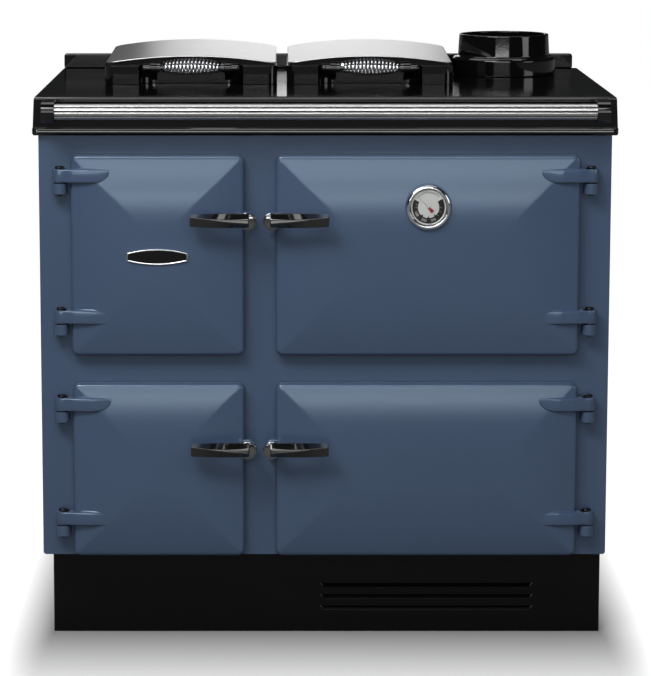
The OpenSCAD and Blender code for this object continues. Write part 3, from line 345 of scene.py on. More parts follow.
def make_fired():
    """Height of a fired or cast skin, and the wander of its colour."""
    tree, given = new_tree(
        "ShaderNodeTree", "fired_skin",
        [("Grain", FLOAT, 300.0), ("Wander", FLOAT, 0.06), ("Colour", COLOUR, (0.5, 0.5, 0.5, 1))],
        [("Colour", COLOUR), ("Height", FLOAT), ("Mask", FLOAT)],
    )
    spot = add_node(tree, "ShaderNodeTexCoord").outputs["Object"]
    fine = add_node(tree, "ShaderNodeTexNoise", {"Vector": spot, "Scale": given["Grain"], "Detail": 2})
    broad = add_node(tree, "ShaderNodeTexNoise", {"Vector": spot, "Scale": 5, "Detail": 3}).outputs["Fac"]
    shade = calc(tree, "MULTIPLY_ADD", broad, given["Wander"], 1.0)
    tint = add_node(tree, VECTOR_MATH, {0: given["Colour"], "Scale": shade}, operation="SCALE")
    results = {"Colour": tint.outputs["Vector"], "Height": fine.outputs["Fac"], "Mask": broad}
    add_node(tree, "NodeGroupOutput", results)
    return tree


def make_brushed():
    """Fine scratches that run along one direction, from a noise stretched across it."""
    tree, given = new_tree(
        "ShaderNodeTree", "brushed",
        [("Stretch", VECTOR, (4.0, 600.0, 600.0)), ("Rough", FLOAT, 0.3), ("Spread", FLOAT, 0.12)],
        [("Roughness", FLOAT), ("Height", FLOAT)],
    )
    spot = add_node(tree, "ShaderNodeTexCoord").outputs["Object"]
    drawn = calc(tree, "MULTIPLY", spot, given["Stretch"], kind=VECTOR_MATH)
    lines = add_node(tree, "ShaderNodeTexNoise", {"Vector": drawn, "Scale": 1, "Detail": 3}).outputs["Fac"]
    rough = calc(tree, "MULTIPLY_ADD", lines, given["Spread"], given["Rough"])
    add_node(tree, "NodeGroupOutput", {"Roughness": rough, "Height": lines})
    return tree


FIRED = make_fired()
BRUSHED = make_brushed()
print("node groups", [g.name for g in bpy.data.node_groups if g.type == "SHADER"])

# %% [markdown]
# ## Materials
#
# The numbers that are the same over a whole surface go straight on the shader's sockets. Only what changes
# from place to place, such as the colour's wander, the roughness of a brushed sheet or the bump, comes
# through nodes.

# %% Materials


def blank(name, values):
    """A material whose plain shader has some of its sockets set."""
    mat = bpy.data.materials.new(name)
    mat.use_nodes = True
    bsdf = next(x for x in mat.node_tree.nodes if x.type == "BSDF_PRINCIPLED")
    for label, value in values.items():
        bsdf.inputs[label].default_value = value
    return mat, mat.node_tree, bsdf


def bump_into(tree, bsdf, height, distance):
    bump = add_node(tree, "ShaderNodeBump", {"Strength": 1.0, "Distance": distance, "Height": height})
    tree.links.new(bump.outputs["Normal"], bsdf.inputs["Normal"])


def fired(name, colour, rough, grain, bump, wander=0.06, metal=0.0, coat=0.0, spread=0.0, gloss=0.5, tint=(1, 1, 1)):
    """Enamel, glaze, cast iron, moulded plastic or plain bright metal: one colour with a skin."""
    mat, tree, bsdf = blank(name, {
        "Metallic": metal, "Roughness": rough, "Specular IOR Level": gloss, "Specular Tint": (*tint, 1),
        "Coat Weight": coat, "Coat Roughness": 0.05,
    })
    given = {"Grain": grain, "Wander": wander, "Colour": (*colour, 1)}
    skin = add_node(tree, "ShaderNodeGroup", given, node_tree=FIRED).outputs
    tree.links.new(skin["Colour"], bsdf.inputs["Base Color"])
    if spread:
        uneven = calc(tree, "MULTIPLY_ADD", skin["Mask"], spread, rough - spread / 2)
        tree.links.new(uneven, bsdf.inputs["Roughness"])
    bump_into(tree, bsdf, skin["Height"], bump)
    return mat


def brushed(name, colour, rough, spread, stretch, bump):
    """Rolled, brushed or ground metal with a grain."""
    mat, tree, bsdf = blank(name, {"Base Color": (*colour, 1), "Metallic": 1.0})
    given = {"Stretch": stretch, "Rough": rough, "Spread": spread}
    grain = add_node(tree, "ShaderNodeGroup", given, node_tree=BRUSHED).outputs
    tree.links.new(grain["Roughness"], bsdf.inputs["Roughness"])
    bump_into(tree, bsdf, grain["Height"], bump)
    return mat


BLUE = fired("blue_enamel", (0.064, 0.099, 0.175), 0.21, 420, 2.5e-5, wander=0.10, gloss=0.9, tint=(0.70, 0.86, 1.0))
BLACK = fired("black_enamel", (0.003, 0.003, 0.0034), 0.05, 260, 1.2e-5, gloss=0.6)
HOB_TOP = fired("hob_top_enamel", (0.003, 0.003, 0.0034), 0.09, 420, 3e-5, gloss=0.5)
PLINTH = fired("plinth_black", (0.0028, 0.0027, 0.0026), 0.32, 700, 3e-5, gloss=0.25)
LEVER = fired("lever_black", (0.006, 0.0055, 0.0055), 0.10, 200, 1e-5, coat=1.0)
CHROME = fired("chrome", (0.80, 0.81, 0.83), 0.07, 500, 4e-6, wander=0.02, metal=1.0)
IRON = fired("bare_iron", (0.055, 0.053, 0.052), 0.62, 900, 1.6e-4, wander=0.35, spread=0.2)
GROUND = brushed("machined_iron", (0.30, 0.30, 0.31), 0.32, 0.14, (700, 5, 700), 1.2e-5)
SATIN = brushed("satin_steel", (0.72, 0.72, 0.715), 0.24, 0.12, (3, 700, 700), 8e-6)
# A darker copy of chrome for the handles' bosses: painted shade, standing in for the dim room that they mirror.
BOSS_PAINTED_SHADE = fired("boss_chrome_painted_shade", (0.26, 0.26, 0.265), 0.10, 500, 4e-6, wander=0.02, metal=1.0)
# Near-black metal for the bottoms of the rail's grooves: painted shade.
PAINTED_GROOVE_SHADE = fired("reed_groove_painted_shade", (0.04, 0.04, 0.04), 0.35, 300, 0.0, metal=1.0)
POLISHED = fired("polished_steel", (0.72, 0.72, 0.72), 0.26, 300, 0.0, wander=0.0, metal=1.0)
SHEET = brushed("sheet_steel", (0.50, 0.50, 0.50), 0.36, 0.16, (500, 500, 4), 1.5e-5)
PLATED = brushed("plated_sheet", (0.62, 0.62, 0.63), 0.38, 0.2, (60, 60, 60), 2e-5)
ROPE = fired("glass_rope", (0.50, 0.46, 0.38), 0.9, 1100, 5e-4, wander=0.3)
DIAL = fired("dial_white", (0.93, 0.93, 0.90), 0.35, 300, 4e-6, wander=0.03)
INK = fired("dial_ink", (0.008, 0.008, 0.008), 0.4, 300, 4e-6)
RED = fired("needle_red", (0.36, 0.008, 0.02), 0.35, 300, 4e-6)
GLASS = blank("gauge_glass", {
    "Base Color": (0.97, 0.98, 0.98, 1), "Roughness": 0.02, "Transmission Weight": 1.0, "IOR": 1.3,
})[0]
print("materials", len(bpy.data.materials))

# %% Finish of each CAD node
SLOTS = {
    "blue_enamel": BLUE, "black_enamel": BLACK, "satin_steel": SATIN, "chrome": CHROME, "bare_iron": IRON,
    "machined_iron": GROUND, "sheet_steel": SHEET, "plated_sheet": PLATED, "glass_rope": ROPE,
    "lever_black": LEVER, "plinth_black": PLINTH, "dial_white": DIAL, "needle_red": RED, "gauge_glass": GLASS,
}
NODE_SLOT = {s["node"]: s["material_slot"] for s in frame["record"]["subparts"]}


def paint(obj, mat):
    obj.data.materials.clear()
    obj.data.materials.append(mat)
    return obj


def dress(obj, node):
    """Gives a new piece the finish of the CAD node that it stands for."""
    paint(obj, SLOTS[NODE_SLOT[node]])
    return obj


def stand_in(obj, node):
    """Dresses a new piece, lets it ride where its CAD node does, and takes that node's place."""
    dress(obj, node)
    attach(obj, body_of(node))
    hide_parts(node)
    return obj


for name, node_obj in nodes.items():
    paint(node_obj, SLOTS[NODE_SLOT[name]])
print("painted", len(nodes))

# %% [markdown]
# ## Castings and sheet that keep their CAD shape
#
# These pieces only need a rounded edge. The radius follows the real process: one to three millimetres on an
# enamelled casting, half a millimetre on folded sheet. The hob's flat top has its own, duller glaze.

# %% Soften the plain pieces
FACES_UP = 0.9

for name, radius in {
    "front_plate": 1.4, "hob_plate": 1.4, "back_upstand": 3.0, "handrail_brackets": 1.8,
    "plinth_front": 0.5, "hinge_pins": 0.5, "side_panel_left": 0.8, "side_panel_right": 0.8,
    "left_lid_frame": 2.6, "right_lid_frame": 2.6, "lid_hinge_brackets": 0.8, "hotplate": 1.0,
    "main_oven": 1.0, "warming_oven": 1.0, "combustion_chamber": 1.5, "door_catches": 0.4,
}.items():
    stand_in(softened(name, mm(radius)), name)
deck = scene.objects["hob_plate_soft"].data
deck.materials.append(HOB_TOP)
for deck_face in deck.polygons:
    deck_face.material_index = int(deck_face.normal.z > FACES_UP)

# %% [markdown]
# ## Hipped doors
#
# A door is a casting whose face rises from its edges to a low crown, like a pillow made of four slopes. Where two
# slopes meet, a crease runs in from the corner and fades, because the slopes flatten towards the middle.
# We build it from nested rounded rectangles: each ring lies a little further in and a little higher.
# One function gives the height of the face, so that the hinge arms can be laid on it exactly.

# %% Where the doors are
DOOR_BACK = -268.5
EDGE, CROWN, RAMP = 18, 14, 130
DOOR_WALL, DOOR_ROLL, DOOR_CORNER = 6, 5.5, 12
HANDLE_DROP, PIVOT_OUT = 110, 6
# door: side, hinge edge x, lower edge z, width, height
DOORS = {
    "fire_door": (-1, -430, 507, 293, 344),
    "burner_door": (-1, -430, 157, 293, 302),
    "oven_door": (1, 431, 507, 515, 344),
    "warming_door": (1, 431, 157, 515, 302),
}


def at_door(door, x, out, z):
    """A point given from the door's lower hinge corner, in metres in the frame."""
    side, ox, oz = DOORS[door][:3]
    return mm(ox - side * x, DOOR_BACK - out, oz + z)


def pivot(door):
    """Where the handle's spindle stands, from the same corner."""
    w, h = DOORS[door][3:]
    return w + PIVOT_OUT, h - HANDLE_DROP


def crown(t):
    """How far the face has risen at a distance from the nearest edge."""
    u = min(1.0, max(0.0, t / RAMP))
    return CROWN * (1 - (1 - u) ** 2)


def face(door, x, z):
    """How far the face stands out from the door's back at a point."""
    w, h = DOORS[door][3:]
    return EDGE + crown(min(x, w - x, z, h - z))


DIAL_AT = at_door("oven_door", 257.5, 0, 256.5)
print("thermometer at", DIAL_AT)

# %% The door's shell


def rounded_ring(w, h, inset, radius, nx, nz, corner=6):
    """A rectangle with round corners and evenly divided sides, as points (x, z)."""
    r = max(radius, 1e-4)
    lo_x, hi_x, lo_z, hi_z = inset + r, w - inset - r, inset + r, h - inset - r
    points = []
    for cx, cz, start, (dx, dz), n in (
        (hi_x, hi_z, 0, (lo_x - hi_x, 0), nx),
        (lo_x, hi_z, 90, (0, lo_z - hi_z), nz),
        (lo_x, lo_z, 180, (hi_x - lo_x, 0), nx),
        (hi_x, lo_z, 270, (0, hi_z - lo_z), nz),
    ):
        for k in range(corner + 1):
            a = math.radians(start + 90 * k / corner)
            points.append((cx + r * math.cos(a), cz + r * math.sin(a)))
        ex, ez = points[-1]
        points += [(ex + dx * k / n, ez + dz * k / n) for k in range(1, n)]
    return points


def door_shell(door):
    """The hollow back, the rolled edge and the hipped face, as rings from the inside out."""
    mesh_size, roll_steps, ring_step, least_radius = 14, 6, 3.2, 4.0
    w, h = DOORS[door][3:]
    nx, nz = round(w / mesh_size), round(h / mesh_size)
    roll = DOOR_ROLL
    stations = [(DOOR_WALL, EDGE - DOOR_WALL), (DOOR_WALL, 0.5), (DOOR_WALL - 0.5, 0)]
    stations += [(0.6, 0), (0.15, 0.2), (0, 0.7)]
    for k in range(roll_steps + 1):
        a = math.radians(90 * k / roll_steps)
        inset = roll * (1 - math.cos(a))
        stations.append((inset, EDGE - roll + roll * math.sin(a) + crown(inset) * math.sin(a)))
    n = int((RAMP - roll) / ring_step)
    slope = [roll + (RAMP - roll) * k / n for k in range(1, n + 1)]
    stations += [(inset, EDGE + crown(inset)) for inset in slope]
    rings = []
    for inset, out in stations:
        r = max(DOOR_CORNER - inset, least_radius)
        rings.append([at_door(door, x, out, z) for x, z in rounded_ring(w, h, inset, r, nx, nz)])
    return loft(rings)


def handle_lug(door):
    """The ear at the door's inner edge that carries the handle's spindle."""
    px, pz = pivot(door)
    radius, root, steps = 12, 9, 16
    rings = []
    for inset, out in ((3, 8.0), (0.3, 8.0), (0, 8.4), (0, 15.6), (0.3, 16.8), (0.9, 17.5), (1.9, 17.9), (3, 18)):
        q = radius - inset
        arc = [math.radians(90 - 180 * k / steps) for k in range(steps + 1)]
        ring = [(px + q * math.cos(a), pz + q * math.sin(a)) for a in arc]
        ring += [(px - PIVOT_OUT - root, pz - q), (px - PIVOT_OUT - root, pz + q)]
        rings.append([at_door(door, x, out, z) for x, z in ring])
    return loft(rings)


print("shell points", len(door_shell("fire_door")[0]))

# %% [markdown]
# ## Hinge arms
#
# Each arm is a leaf: a knuckle round the pin, a flat strap over the door's edge, and a blade that sinks into the
# slope and ends in a curved tip. The cross-section at every station starts on the face, so the fillet always
# meets the enamel, also where the crease of the corner runs under the blade.

# %% Hinge arms
PIN_OUT, PIN_Y = 18.6, 12.0
ARM_H, ARM_LEN, KNUCKLE = 22.5, 83, 12.4
LOWER_ARM, UPPER_ARM = 56, 47
LEAF_ROWS, SHOULDER, TIP_AT, TIP_H = 34, 0.28, 0.64, 4.5
SUNK, ROOT = 0.5, 3
BLADE_AT = [0.0, SHOULDER, 0.6, 1.0]
BLADE_OUT = [KNUCKLE, 6 + 0.75 * CROWN, 6 + 0.9 * CROWN, 6 + 0.60 * CROWN]
QUARTER = [math.radians(90 * k / 4) for k in range(5)]


def knuckle(door, z0):
    """The barrel round the pin, with eased ends."""
    rings = []
    for inset, z in ((1.2, 0), (0.35, 0.35), (0, 1.2), (0, ARM_H - 1.2), (0.35, ARM_H - 0.35), (1.2, ARM_H)):
        r = KNUCKLE - inset
        rings.append([
            at_door(door, -PIN_OUT + r * math.cos(a), PIN_Y + r * math.sin(a), z0 + z) for a in turn_angles(48)
        ])
    return loft(rings)


def leaf(door, z0, flip):
    """The arm's blade. The lower arm of a door is the upper one turned over (flip)."""

    def turned(z):
        return z0 + (ARM_H - z if flip else z)

    def base(x, z):
        """What the section starts on: the face, or a line inside the strap and the knuckle."""
        if x > 0.5:
            return face(door, x, turned(z))
        return PIN_Y - (7 if x > -12 else 4)

    rings = []
    for i in range(LEAF_ROWS + 1):
        s = i / LEAF_ROWS
        s = s * 0.45 + 0.55 * math.sin(s * math.pi / 2)
        x = -PIN_OUT + s * (ARM_LEN + 1.5)
        on_door = x > 0.5
        out = PIN_Y + float(np.interp(s, BLADE_AT, BLADE_OUT))
        if s < SHOULDER:
            u = s / SHOULDER
            out = PIN_Y + KNUCKLE + (BLADE_OUT[1] - KNUCKLE) * u * u * (3 - 2 * u) * (0.6 + 0.4 * u)
        c = 0 if s <= TIP_AT else (s - TIP_AT) / (1 - TIP_AT)
        lo = (ARM_H - TIP_H) * (1 - math.sqrt(max(0.0, 1 - c**2)))
        hi = ARM_H - 1.6 * c * c
        rise = max(0.35, out - max(base(x, lo), base(x, hi)))
        r = min(2.6, 0.55 * rise)
        f = min(4.5, 0.2 * x, 0.9 * rise) if on_door else 0.0
        bulge = min(0.5, 0.15 * rise)
        if on_door:
            climb = SUNK + min(f, rise * 0.4)
            above, below = base(x, hi + f) - SUNK, base(x, lo - f) - SUNK
            upper = [(hi + f - f * math.sin(a), above + climb * (1 - math.cos(a))) for a in QUARTER]
            lower = [(lo - f + f * math.sin(a), below + climb * (1 - math.cos(a))) for a in QUARTER[3::-1]]
        else:
            upper, lower = [(hi, base(x, hi))] * 5, [(lo, base(x, lo))] * 4
        sect = upper + [(hi - r + r * math.cos(a), out - r + r * math.sin(a)) for a in QUARTER]
        sect += [(hi - r + (lo - hi + 2 * r) * q, out + bulge * math.sin(math.pi * q)) for q in (0.25, 0.5, 0.75)]
        sect += [(lo + r - r * math.sin(a), out - r + r * math.cos(a)) for a in QUARTER] + lower
        root = ROOT if on_door else 0
        sect += [(lo - f, base(x, lo - f) - root), (hi + f, base(x, hi + f) - root)]
        rings.append([at_door(door, x, o, turned(z)) for z, o in sect])
    return loft(rings)


print("arm points", len(leaf("fire_door", LOWER_ARM, True)[0]))

# %% Doors
POCKET_R = 13.6
DIAL_PAD = [(0, 8), (39.5, 8), (39.5, 32.1), (39.2, 32.5), (38, 32.5), (0, 32.5)]


def make_door(door):
    shell = add_object(door + "_shell", *door_shell(door))
    # The pocket in which the latch turns, behind the handle's lug.
    px, pz = pivot(door)
    pocket = [
        [at_door(door, px + POCKET_R * math.cos(a), out, pz + POCKET_R * math.sin(a)) for a in turn_angles(48)]
        for out in (8, -2)
    ]
    cutter = add_object("cutter", *loft(pocket))
    cut = shell.modifiers.new("pocket", "BOOLEAN")
    cut.operation, cut.solver, cut.object = "DIFFERENCE", "EXACT", cutter
    flat(shell)
    bpy.data.objects.remove(cutter)
    parts = [handle_lug(door)]
    for flip, z0 in ((True, LOWER_ARM), (False, DOORS[door][4] - UPPER_ARM)):
        parts += [knuckle(door, z0), leaf(door, z0, flip)]
    if door == "oven_door":
        parts.append(lathe(DIAL_PAD, DIAL_AT, "-Y", 96))
    extras = add_object(door + "_extras", *merged(*parts))
    bm = bmesh.new()
    bm.from_mesh(shell.data)
    bm.from_mesh(extras.data)
    bm.to_mesh(shell.data)
    bm.free()
    bpy.data.objects.remove(extras)
    shell.data.shade_smooth()
    shell.data.set_sharp_from_angle(angle=math.radians(32))
    shell.name = door + "_casting"
    return stand_in(shell, door)


for door in DOORS:
    made = make_door(door)
    print(made.name, len(made.data.polygons))

# %% [markdown]
# ## Levers and their bosses
#
# The handle is a square black bar that twists towards its pivot. A flat cuts its front corner, widens towards the
# boss and catches the lamp. The boss is small and chromed, in a chrome darkened as painted shade for the dim room
# it mirrors, and the latch's nose hides in the door's pocket.

# %% Levers
LEVER_LEN, LEVER_IN, LEVER_OFF, LEVER_UP = 96, 3, 50.2, 3.5
LEVER_H, LEVER_T, LEVER_SWELL, LEVER_EDGE = 17, 18.5, 0.03, 1.8
LEVER_STEPS, LEVER_ROUND = 44, 1.1
LEVER_END = ((0, LEVER_ROUND), (0.15, 0.6), (0.5, 0.2), (LEVER_ROUND, 0))
TWIST_OUT, TWIST_IN = math.radians(9), math.radians(58)
FLAT_TILT, FLAT_LEAST, FLAT_GROWTH, FLAT_FROM = math.radians(13), 0.8, 7.2, 0.3


def lever_ring(door, x, shrink):
    """The bar's section at x from the pivot, smaller all round by shrink."""
    px, pz = pivot(door)
    u = (x + LEVER_LEN) / (LEVER_LEN + LEVER_IN)
    a = TWIST_OUT + (TWIST_IN - TWIST_OUT) * u
    hz, hy = LEVER_H / 2 * (1 + LEVER_SWELL * u), LEVER_T / 2 * (1 + LEVER_SWELL * u)
    r = LEVER_EDGE
    reach = r + (hy - r) * math.cos(a) + (hz - r) * math.sin(a)
    hy, hz = hy - shrink, hz - shrink
    # The front corner is cut by a flat that widens to the boss and always faces the same way.
    flat_w = FLAT_LEAST + FLAT_GROWTH * max(0.0, (u - FLAT_FROM) / (1 - FLAT_FROM))
    in_y, in_z = flat_w * math.sin(a + FLAT_TILT), flat_w * math.cos(a + FLAT_TILT)
    ring = eased([(hy, hz), (in_y - hy, hz), (-hy, hz - in_z), (-hy, -hz), (hy, -hz)], r)
    return [
        at_door(
            door, px + x,
            LEVER_OFF + reach - (y0 * math.cos(a) - z0 * math.sin(a)),
            pz + LEVER_UP + y0 * math.sin(a) + z0 * math.cos(a),
        )
        for y0, z0 in ring
    ]


def make_lever(door):
    stations = [(-LEVER_LEN + d, s) for d, s in LEVER_END]
    straight = LEVER_LEN + LEVER_IN - 2 * LEVER_ROUND
    stations += [(-LEVER_LEN + LEVER_ROUND + straight * k / LEVER_STEPS, 0) for k in range(1, LEVER_STEPS)]
    stations += [(LEVER_IN - d, s) for d, s in reversed(LEVER_END)]
    obj = add_object(door + "_lever_bar", *loft([lever_ring(door, x, s) for x, s in stations]), sharp=50)
    return stand_in(obj, door + "_handle")


print("lever section", len(lever_ring("fire_door", 0, 0)))

# %% Latches
LATCH = [
    (0, 1.5), (8, 1.5), (8, 6.5), (5, 6.5), (5, 19.5), (9.8, 19.7), (10, 20.5), (9.8, 21.6), (9, 22.8),
    (8.0, 24.5), (8.2, 28), (9.2, 33), (10.2, 43.8), (10.5, 44.8), (11.0, 45.2), (14.2, 45.6), (14.8, 45.9),
    (15, 46.4), (15, 48.6), (14.8, 49.2), (14.3, 49.5), (12.9, 49.5), (12.5, 49.2), (12.1, 49.3),
    (11.9, 49.9), (11.6, 50), (0, 50),
]
NOSE = ((-3, 0), (3, 0), (3, 11), (2, 12), (-2, 12), (-3, 11))


def make_latch(door):
    px, pz = pivot(door)
    body = lathe(LATCH, at_door(door, px, 0, pz), "-Y", 64)
    nose = loft([[at_door(door, px + x, out, pz - z) for x, z in NOSE] for out in (1.5, 6.5)])
    obj = add_object(door + "_latch_boss", *merged(body, nose), sharp=24)
    # The boss wears the darker chrome: painted shade.
    return paint(stand_in(obj, door + "_latch"), BOSS_PAINTED_SHADE)


for door in DOORS:
    print(make_lever(door).name, make_latch(door).name)

# %% [markdown]
# ## Lids
#
# The stainless dome arches across the lid, rises a little to the back and ends in a rolled hem all round.
# The hem is what shows as the bright line along the front.

# %% Lid domes
LIDS = {"left": (-387, 305), "right": (-65, 295)}
LID_Y, LID_D, LID_H, HOB_Z = -34.5, 308, 33, 948
LID_LIFT, LID_ARCH, LID_RISE, LID_R = 5, 13, 9, 17
DOME_IN_X, DOME_IN_Y = 2, 1
HEM = [(8, -2.0), (1.1, -2.0), (0.45, -1.8), (0.1, -1.45), (0, -1.0), (0.1, -0.5), (0.45, -0.15), (1.1, 0.0)]
HEM += [(2.2, 0.04), (4, 0), (8, 0), (12, 0), (LID_R - 0.01, 0)]


def dome_z(x, y, w):
    """Height of a lid's dome over the hob: an arch across the lid's width that rises to the back."""
    top = LID_H + LID_LIFT + LID_ARCH
    r = (w * w / 4 + LID_ARCH**2) / (2 * LID_ARCH)
    return top - r + math.sqrt(max(0.0, r * r - (x - w / 2) ** 2)) + y * LID_RISE / LID_D


def make_dome(side):
    """A hem of rings round a grid of quads."""
    x0, w = LIDS[side]
    nx, ny, corner = 28, 26, 8
    ww, dd = w - 2 * DOME_IN_X, LID_D - 2 * DOME_IN_Y

    def on_dome(x, y, dz=0):
        return mm(x0 + DOME_IN_X + x, LID_Y + DOME_IN_Y + y, HOB_Z + dz + dome_z(x + DOME_IN_X, y, w))

    rings = []
    for inset, dz in HEM:
        ring = rounded_ring(ww, dd, inset, LID_R - inset, nx, ny, corner)
        rings.append([on_dome(x, y, dz) for x, y in ring])
    verts, faces = sleeve(rings)
    faces.append(tuple(range(len(rings[0])))[::-1])
    base = len(verts)
    for j in range(ny + 1):
        for i in range(nx + 1):
            verts.append(on_dome(LID_R + (ww - 2 * LID_R) * i / nx, LID_R + (dd - 2 * LID_R) * j / ny))
    for j in range(ny):
        for i in range(nx):
            a = base + j * (nx + 1) + i
            faces.append((a, a + 1, a + nx + 2, a + nx + 1))
    obj = add_object(side + "_dome", verts, faces, sharp=60, merge=2e-5)
    return stand_in(obj, side + "_lid_dome")


for side in LIDS:
    print(make_dome(side).name)

# %% [markdown]
# ## The sprung handles
#
# The handle is a close coil of round wire that swells to a barrel. A helix follows a rule, so Geometry Nodes
# draws it: the number of turns, the length, the radius at the ends, the swell and the wire are its inputs.

# %% Geometry Nodes helpers


def end_tree(tree, shape, material):
    """Makes a tree's instances real, gives them a material and puts them out."""
    real = add_node(tree, "GeometryNodeRealizeInstances", {"Geometry": shape}).outputs["Geometry"]
    cover = add_node(tree, "GeometryNodeSetMaterial", {"Geometry": real, "Material": material})
    add_node(tree, "NodeGroupOutput", {"Geometry": cover.outputs["Geometry"]})
    return tree


def grown(name, tree, values, offset, material):
    """Runs a node tree on an empty mesh and keeps the result, moved to its place."""
    obj = bpy.data.objects.new(name, bpy.data.meshes.new(name))
    scene.collection.objects.link(obj)
    mod = obj.modifiers.new("grow", "NODES")
    mod.node_group = tree
    ids = {i.name: i.identifier for i in tree.interface.items_tree if i.in_out == "INPUT"}
    for label, value in {**values, "Material": material}.items():
        mod[ids[label]] = value
    flat(obj)
    obj.data.transform(Matrix.Translation(Vector(offset)))
    return obj


def make_spring_tree():
    """A helix of round wire along X, widest at its middle."""
    tree, given = new_tree(
        "GeometryNodeTree", "sprung_handle",
        [("Geometry", SHAPE), ("Turns", WHOLE), ("Per turn", WHOLE), ("Length", FLOAT), ("End radius", FLOAT),
         ("Swell", FLOAT), ("Wire radius", FLOAT), ("Material", FINISH)],
        [("Geometry", SHAPE)],
    )

    def rule(operation, *terms):
        return calc(tree, operation, *terms)

    points = rule("ADD", rule("MULTIPLY", given["Turns"], given["Per turn"]), 1)
    line = add_node(tree, "GeometryNodeCurvePrimitiveLine").outputs["Curve"]
    even = add_node(tree, "GeometryNodeResampleCurve", {"Curve": line, "Count": points}).outputs["Curve"]
    u = add_node(tree, "GeometryNodeSplineParameter").outputs["Factor"]
    angle = rule("MULTIPLY", rule("MULTIPLY", u, given["Turns"]), 2 * math.pi)
    belly = rule("POWER", rule("ABSOLUTE", rule("SINE", rule("MULTIPLY", u, math.pi))), 0.8)
    radius = rule("ADD", given["End radius"], rule("MULTIPLY", given["Swell"], belly))
    place = add_node(tree, "ShaderNodeCombineXYZ", {
        "X": rule("MULTIPLY", rule("SUBTRACT", u, 0.5), given["Length"]),
        "Y": rule("MULTIPLY", radius, rule("SINE", angle)),
        "Z": rule("MULTIPLY", radius, rule("COSINE", angle)),
    }).outputs["Vector"]
    move = add_node(tree, "GeometryNodeSetPosition", {"Geometry": even, "Position": place})
    wire = add_node(tree, "GeometryNodeCurvePrimitiveCircle", {"Resolution": 12, "Radius": given["Wire radius"]})
    skin = add_node(tree, "GeometryNodeCurveToMesh", {
        "Curve": move.outputs["Geometry"], "Profile Curve": wire.outputs["Curve"], "Fill Caps": True,
    })
    soft = add_node(tree, "GeometryNodeSetShadeSmooth", {"Geometry": skin.outputs["Mesh"]})
    return end_tree(tree, soft.outputs["Geometry"], given["Material"])


SPRING = make_spring_tree()
print("spring nodes", len(SPRING.nodes))

# %% Springs
COIL = {"Turns": 15, "Per turn": 24, "Length": 0.0976, "End radius": 0.0059, "Swell": 0.0063, "Wire radius": 0.0021}
ROD_OUT, ROD_UP = 9, 30


def rod_at(side):
    """The middle of a lid's handle."""
    x0, w = LIDS[side]
    return mm(x0 + w / 2, LID_Y - ROD_OUT, HOB_Z + ROD_UP)


for side in LIDS:
    spring = grown(side + "_coil", SPRING, COIL, rod_at(side), CHROME)
    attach(spring, side + "_lid")
    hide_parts(side + "_lid_spring")
    print(spring.name, len(spring.data.vertices))

# %% [markdown]
# ## Turned pieces
#
# The rods with their acorn ends, the flue spigot and the thermometer's bezel are profiles spun round an axis.
# The spigot's corners are rounded over a fixed reach. The bezel's and the badge's lines have their corners cut
# again and again (Chaikin's rule), which leaves no straight run.

# %% Rods and spigot
ACORN = [
    (0, 87), (1.6, 86.8), (3.2, 86), (4.4, 84.6), (5.2, 82.6), (5.5, 80.6), (5.2, 79.4), (4.5, 78.8),
    (4.5, 78.3), (5.4, 77.9), (5.5, 77.2), (5.2, 71.4), (3, 71.3), (3, 59.8), (3.2, 59.7), (7.6, 59.7),
    (8, 59.3), (8, 53.4), (7.6, 53), (3, 53),
]
SPIGOT = [(76, -24), (79.5, -24), (79.5, 0), (95, 0), (95, 29), (91, 33.5), (84.5, 34.5), (82.3, 74), (76, 74)]
SPIGOT_AT, SPIGOT_EASE = mm(338, 213.5, HOB_Z), 2.4

for side in LIDS:
    profile = [(r, -h) for r, h in ACORN] + [(r, h) for r, h in reversed(ACORN)]
    rod = add_object(side + "_rod", *lathe(profile, rod_at(side), "X", 40))
    paint(stand_in(rod, side + "_lid_rod"), LEVER)

spigot = lathe(eased(SPIGOT, SPIGOT_EASE), SPIGOT_AT, "Z", 128, closed=True)
stand_in(add_object("spigot", *spigot, sharp=60), "flue_spigot")
print("spigot points", len(spigot[0]))

# %% Handrail
RAIL_Y, RAIL_Z, RAIL_HALF, RAIL_MIDDLE = -328.5, 927, 462.5, 150
REEDS, RAIL_R, REED_DEPTH = 10, 13.0, 0.6
RAIL_TURN, RAIL_STEPS = math.radians(5.4), 720
GROOVE_DEPTH, GROOVE_WIDTH, GROOVE_PAINTED_SHADE_DEG = 1.2, 4.5, 6


def rail():
    """Reeded tube: narrow grooves between broad rounded reeds."""
    ring = []
    for a in turn_angles(RAIL_STEPS):
        off = ((a - math.pi + RAIL_TURN) / (2 * math.pi / REEDS)) % 1.0
        to_groove = min(off, 1 - off) * 360 / REEDS
        reed = RAIL_R - REED_DEPTH * (2 * off - 1) ** 2
        r = reed - GROOVE_DEPTH * math.exp(-((to_groove / GROOVE_WIDTH) ** 2))
        ring.append((r * math.cos(a), r * math.sin(a)))
    stations = (-RAIL_HALF, -RAIL_MIDDLE, RAIL_MIDDLE, RAIL_HALF)
    return loft([[mm(x, RAIL_Y + y, RAIL_Z + z) for y, z in ring] for x in stations])


tube = paint(stand_in(add_object("rail", *rail(), sharp=70), "handrail_tube"), POLISHED)
# Faces near the bottom of each groove take the near-black metal: a painted shade line along every groove.
tube.data.materials.append(PAINTED_GROOVE_SHADE)
pitch = 360 / REEDS
for rail_face in tube.data.polygons:
    spot = rail_face.center
    turn = math.degrees(math.atan2(spot.z - mm(RAIL_Z), spot.y - mm(RAIL_Y)) + RAIL_TURN) % pitch
    rail_face.material_index = int(min(turn, pitch - turn) < GROOVE_PAINTED_SHADE_DEG)
print("rail faces", len(tube.data.polygons))

# %% [markdown]
# ## Thermometer and badge
#
# The dial is laid out in polar coordinates: a black scale round the lower half, spikes that point inwards,
# pale numbers on the scale and plain ticks above. The badge is left bare.

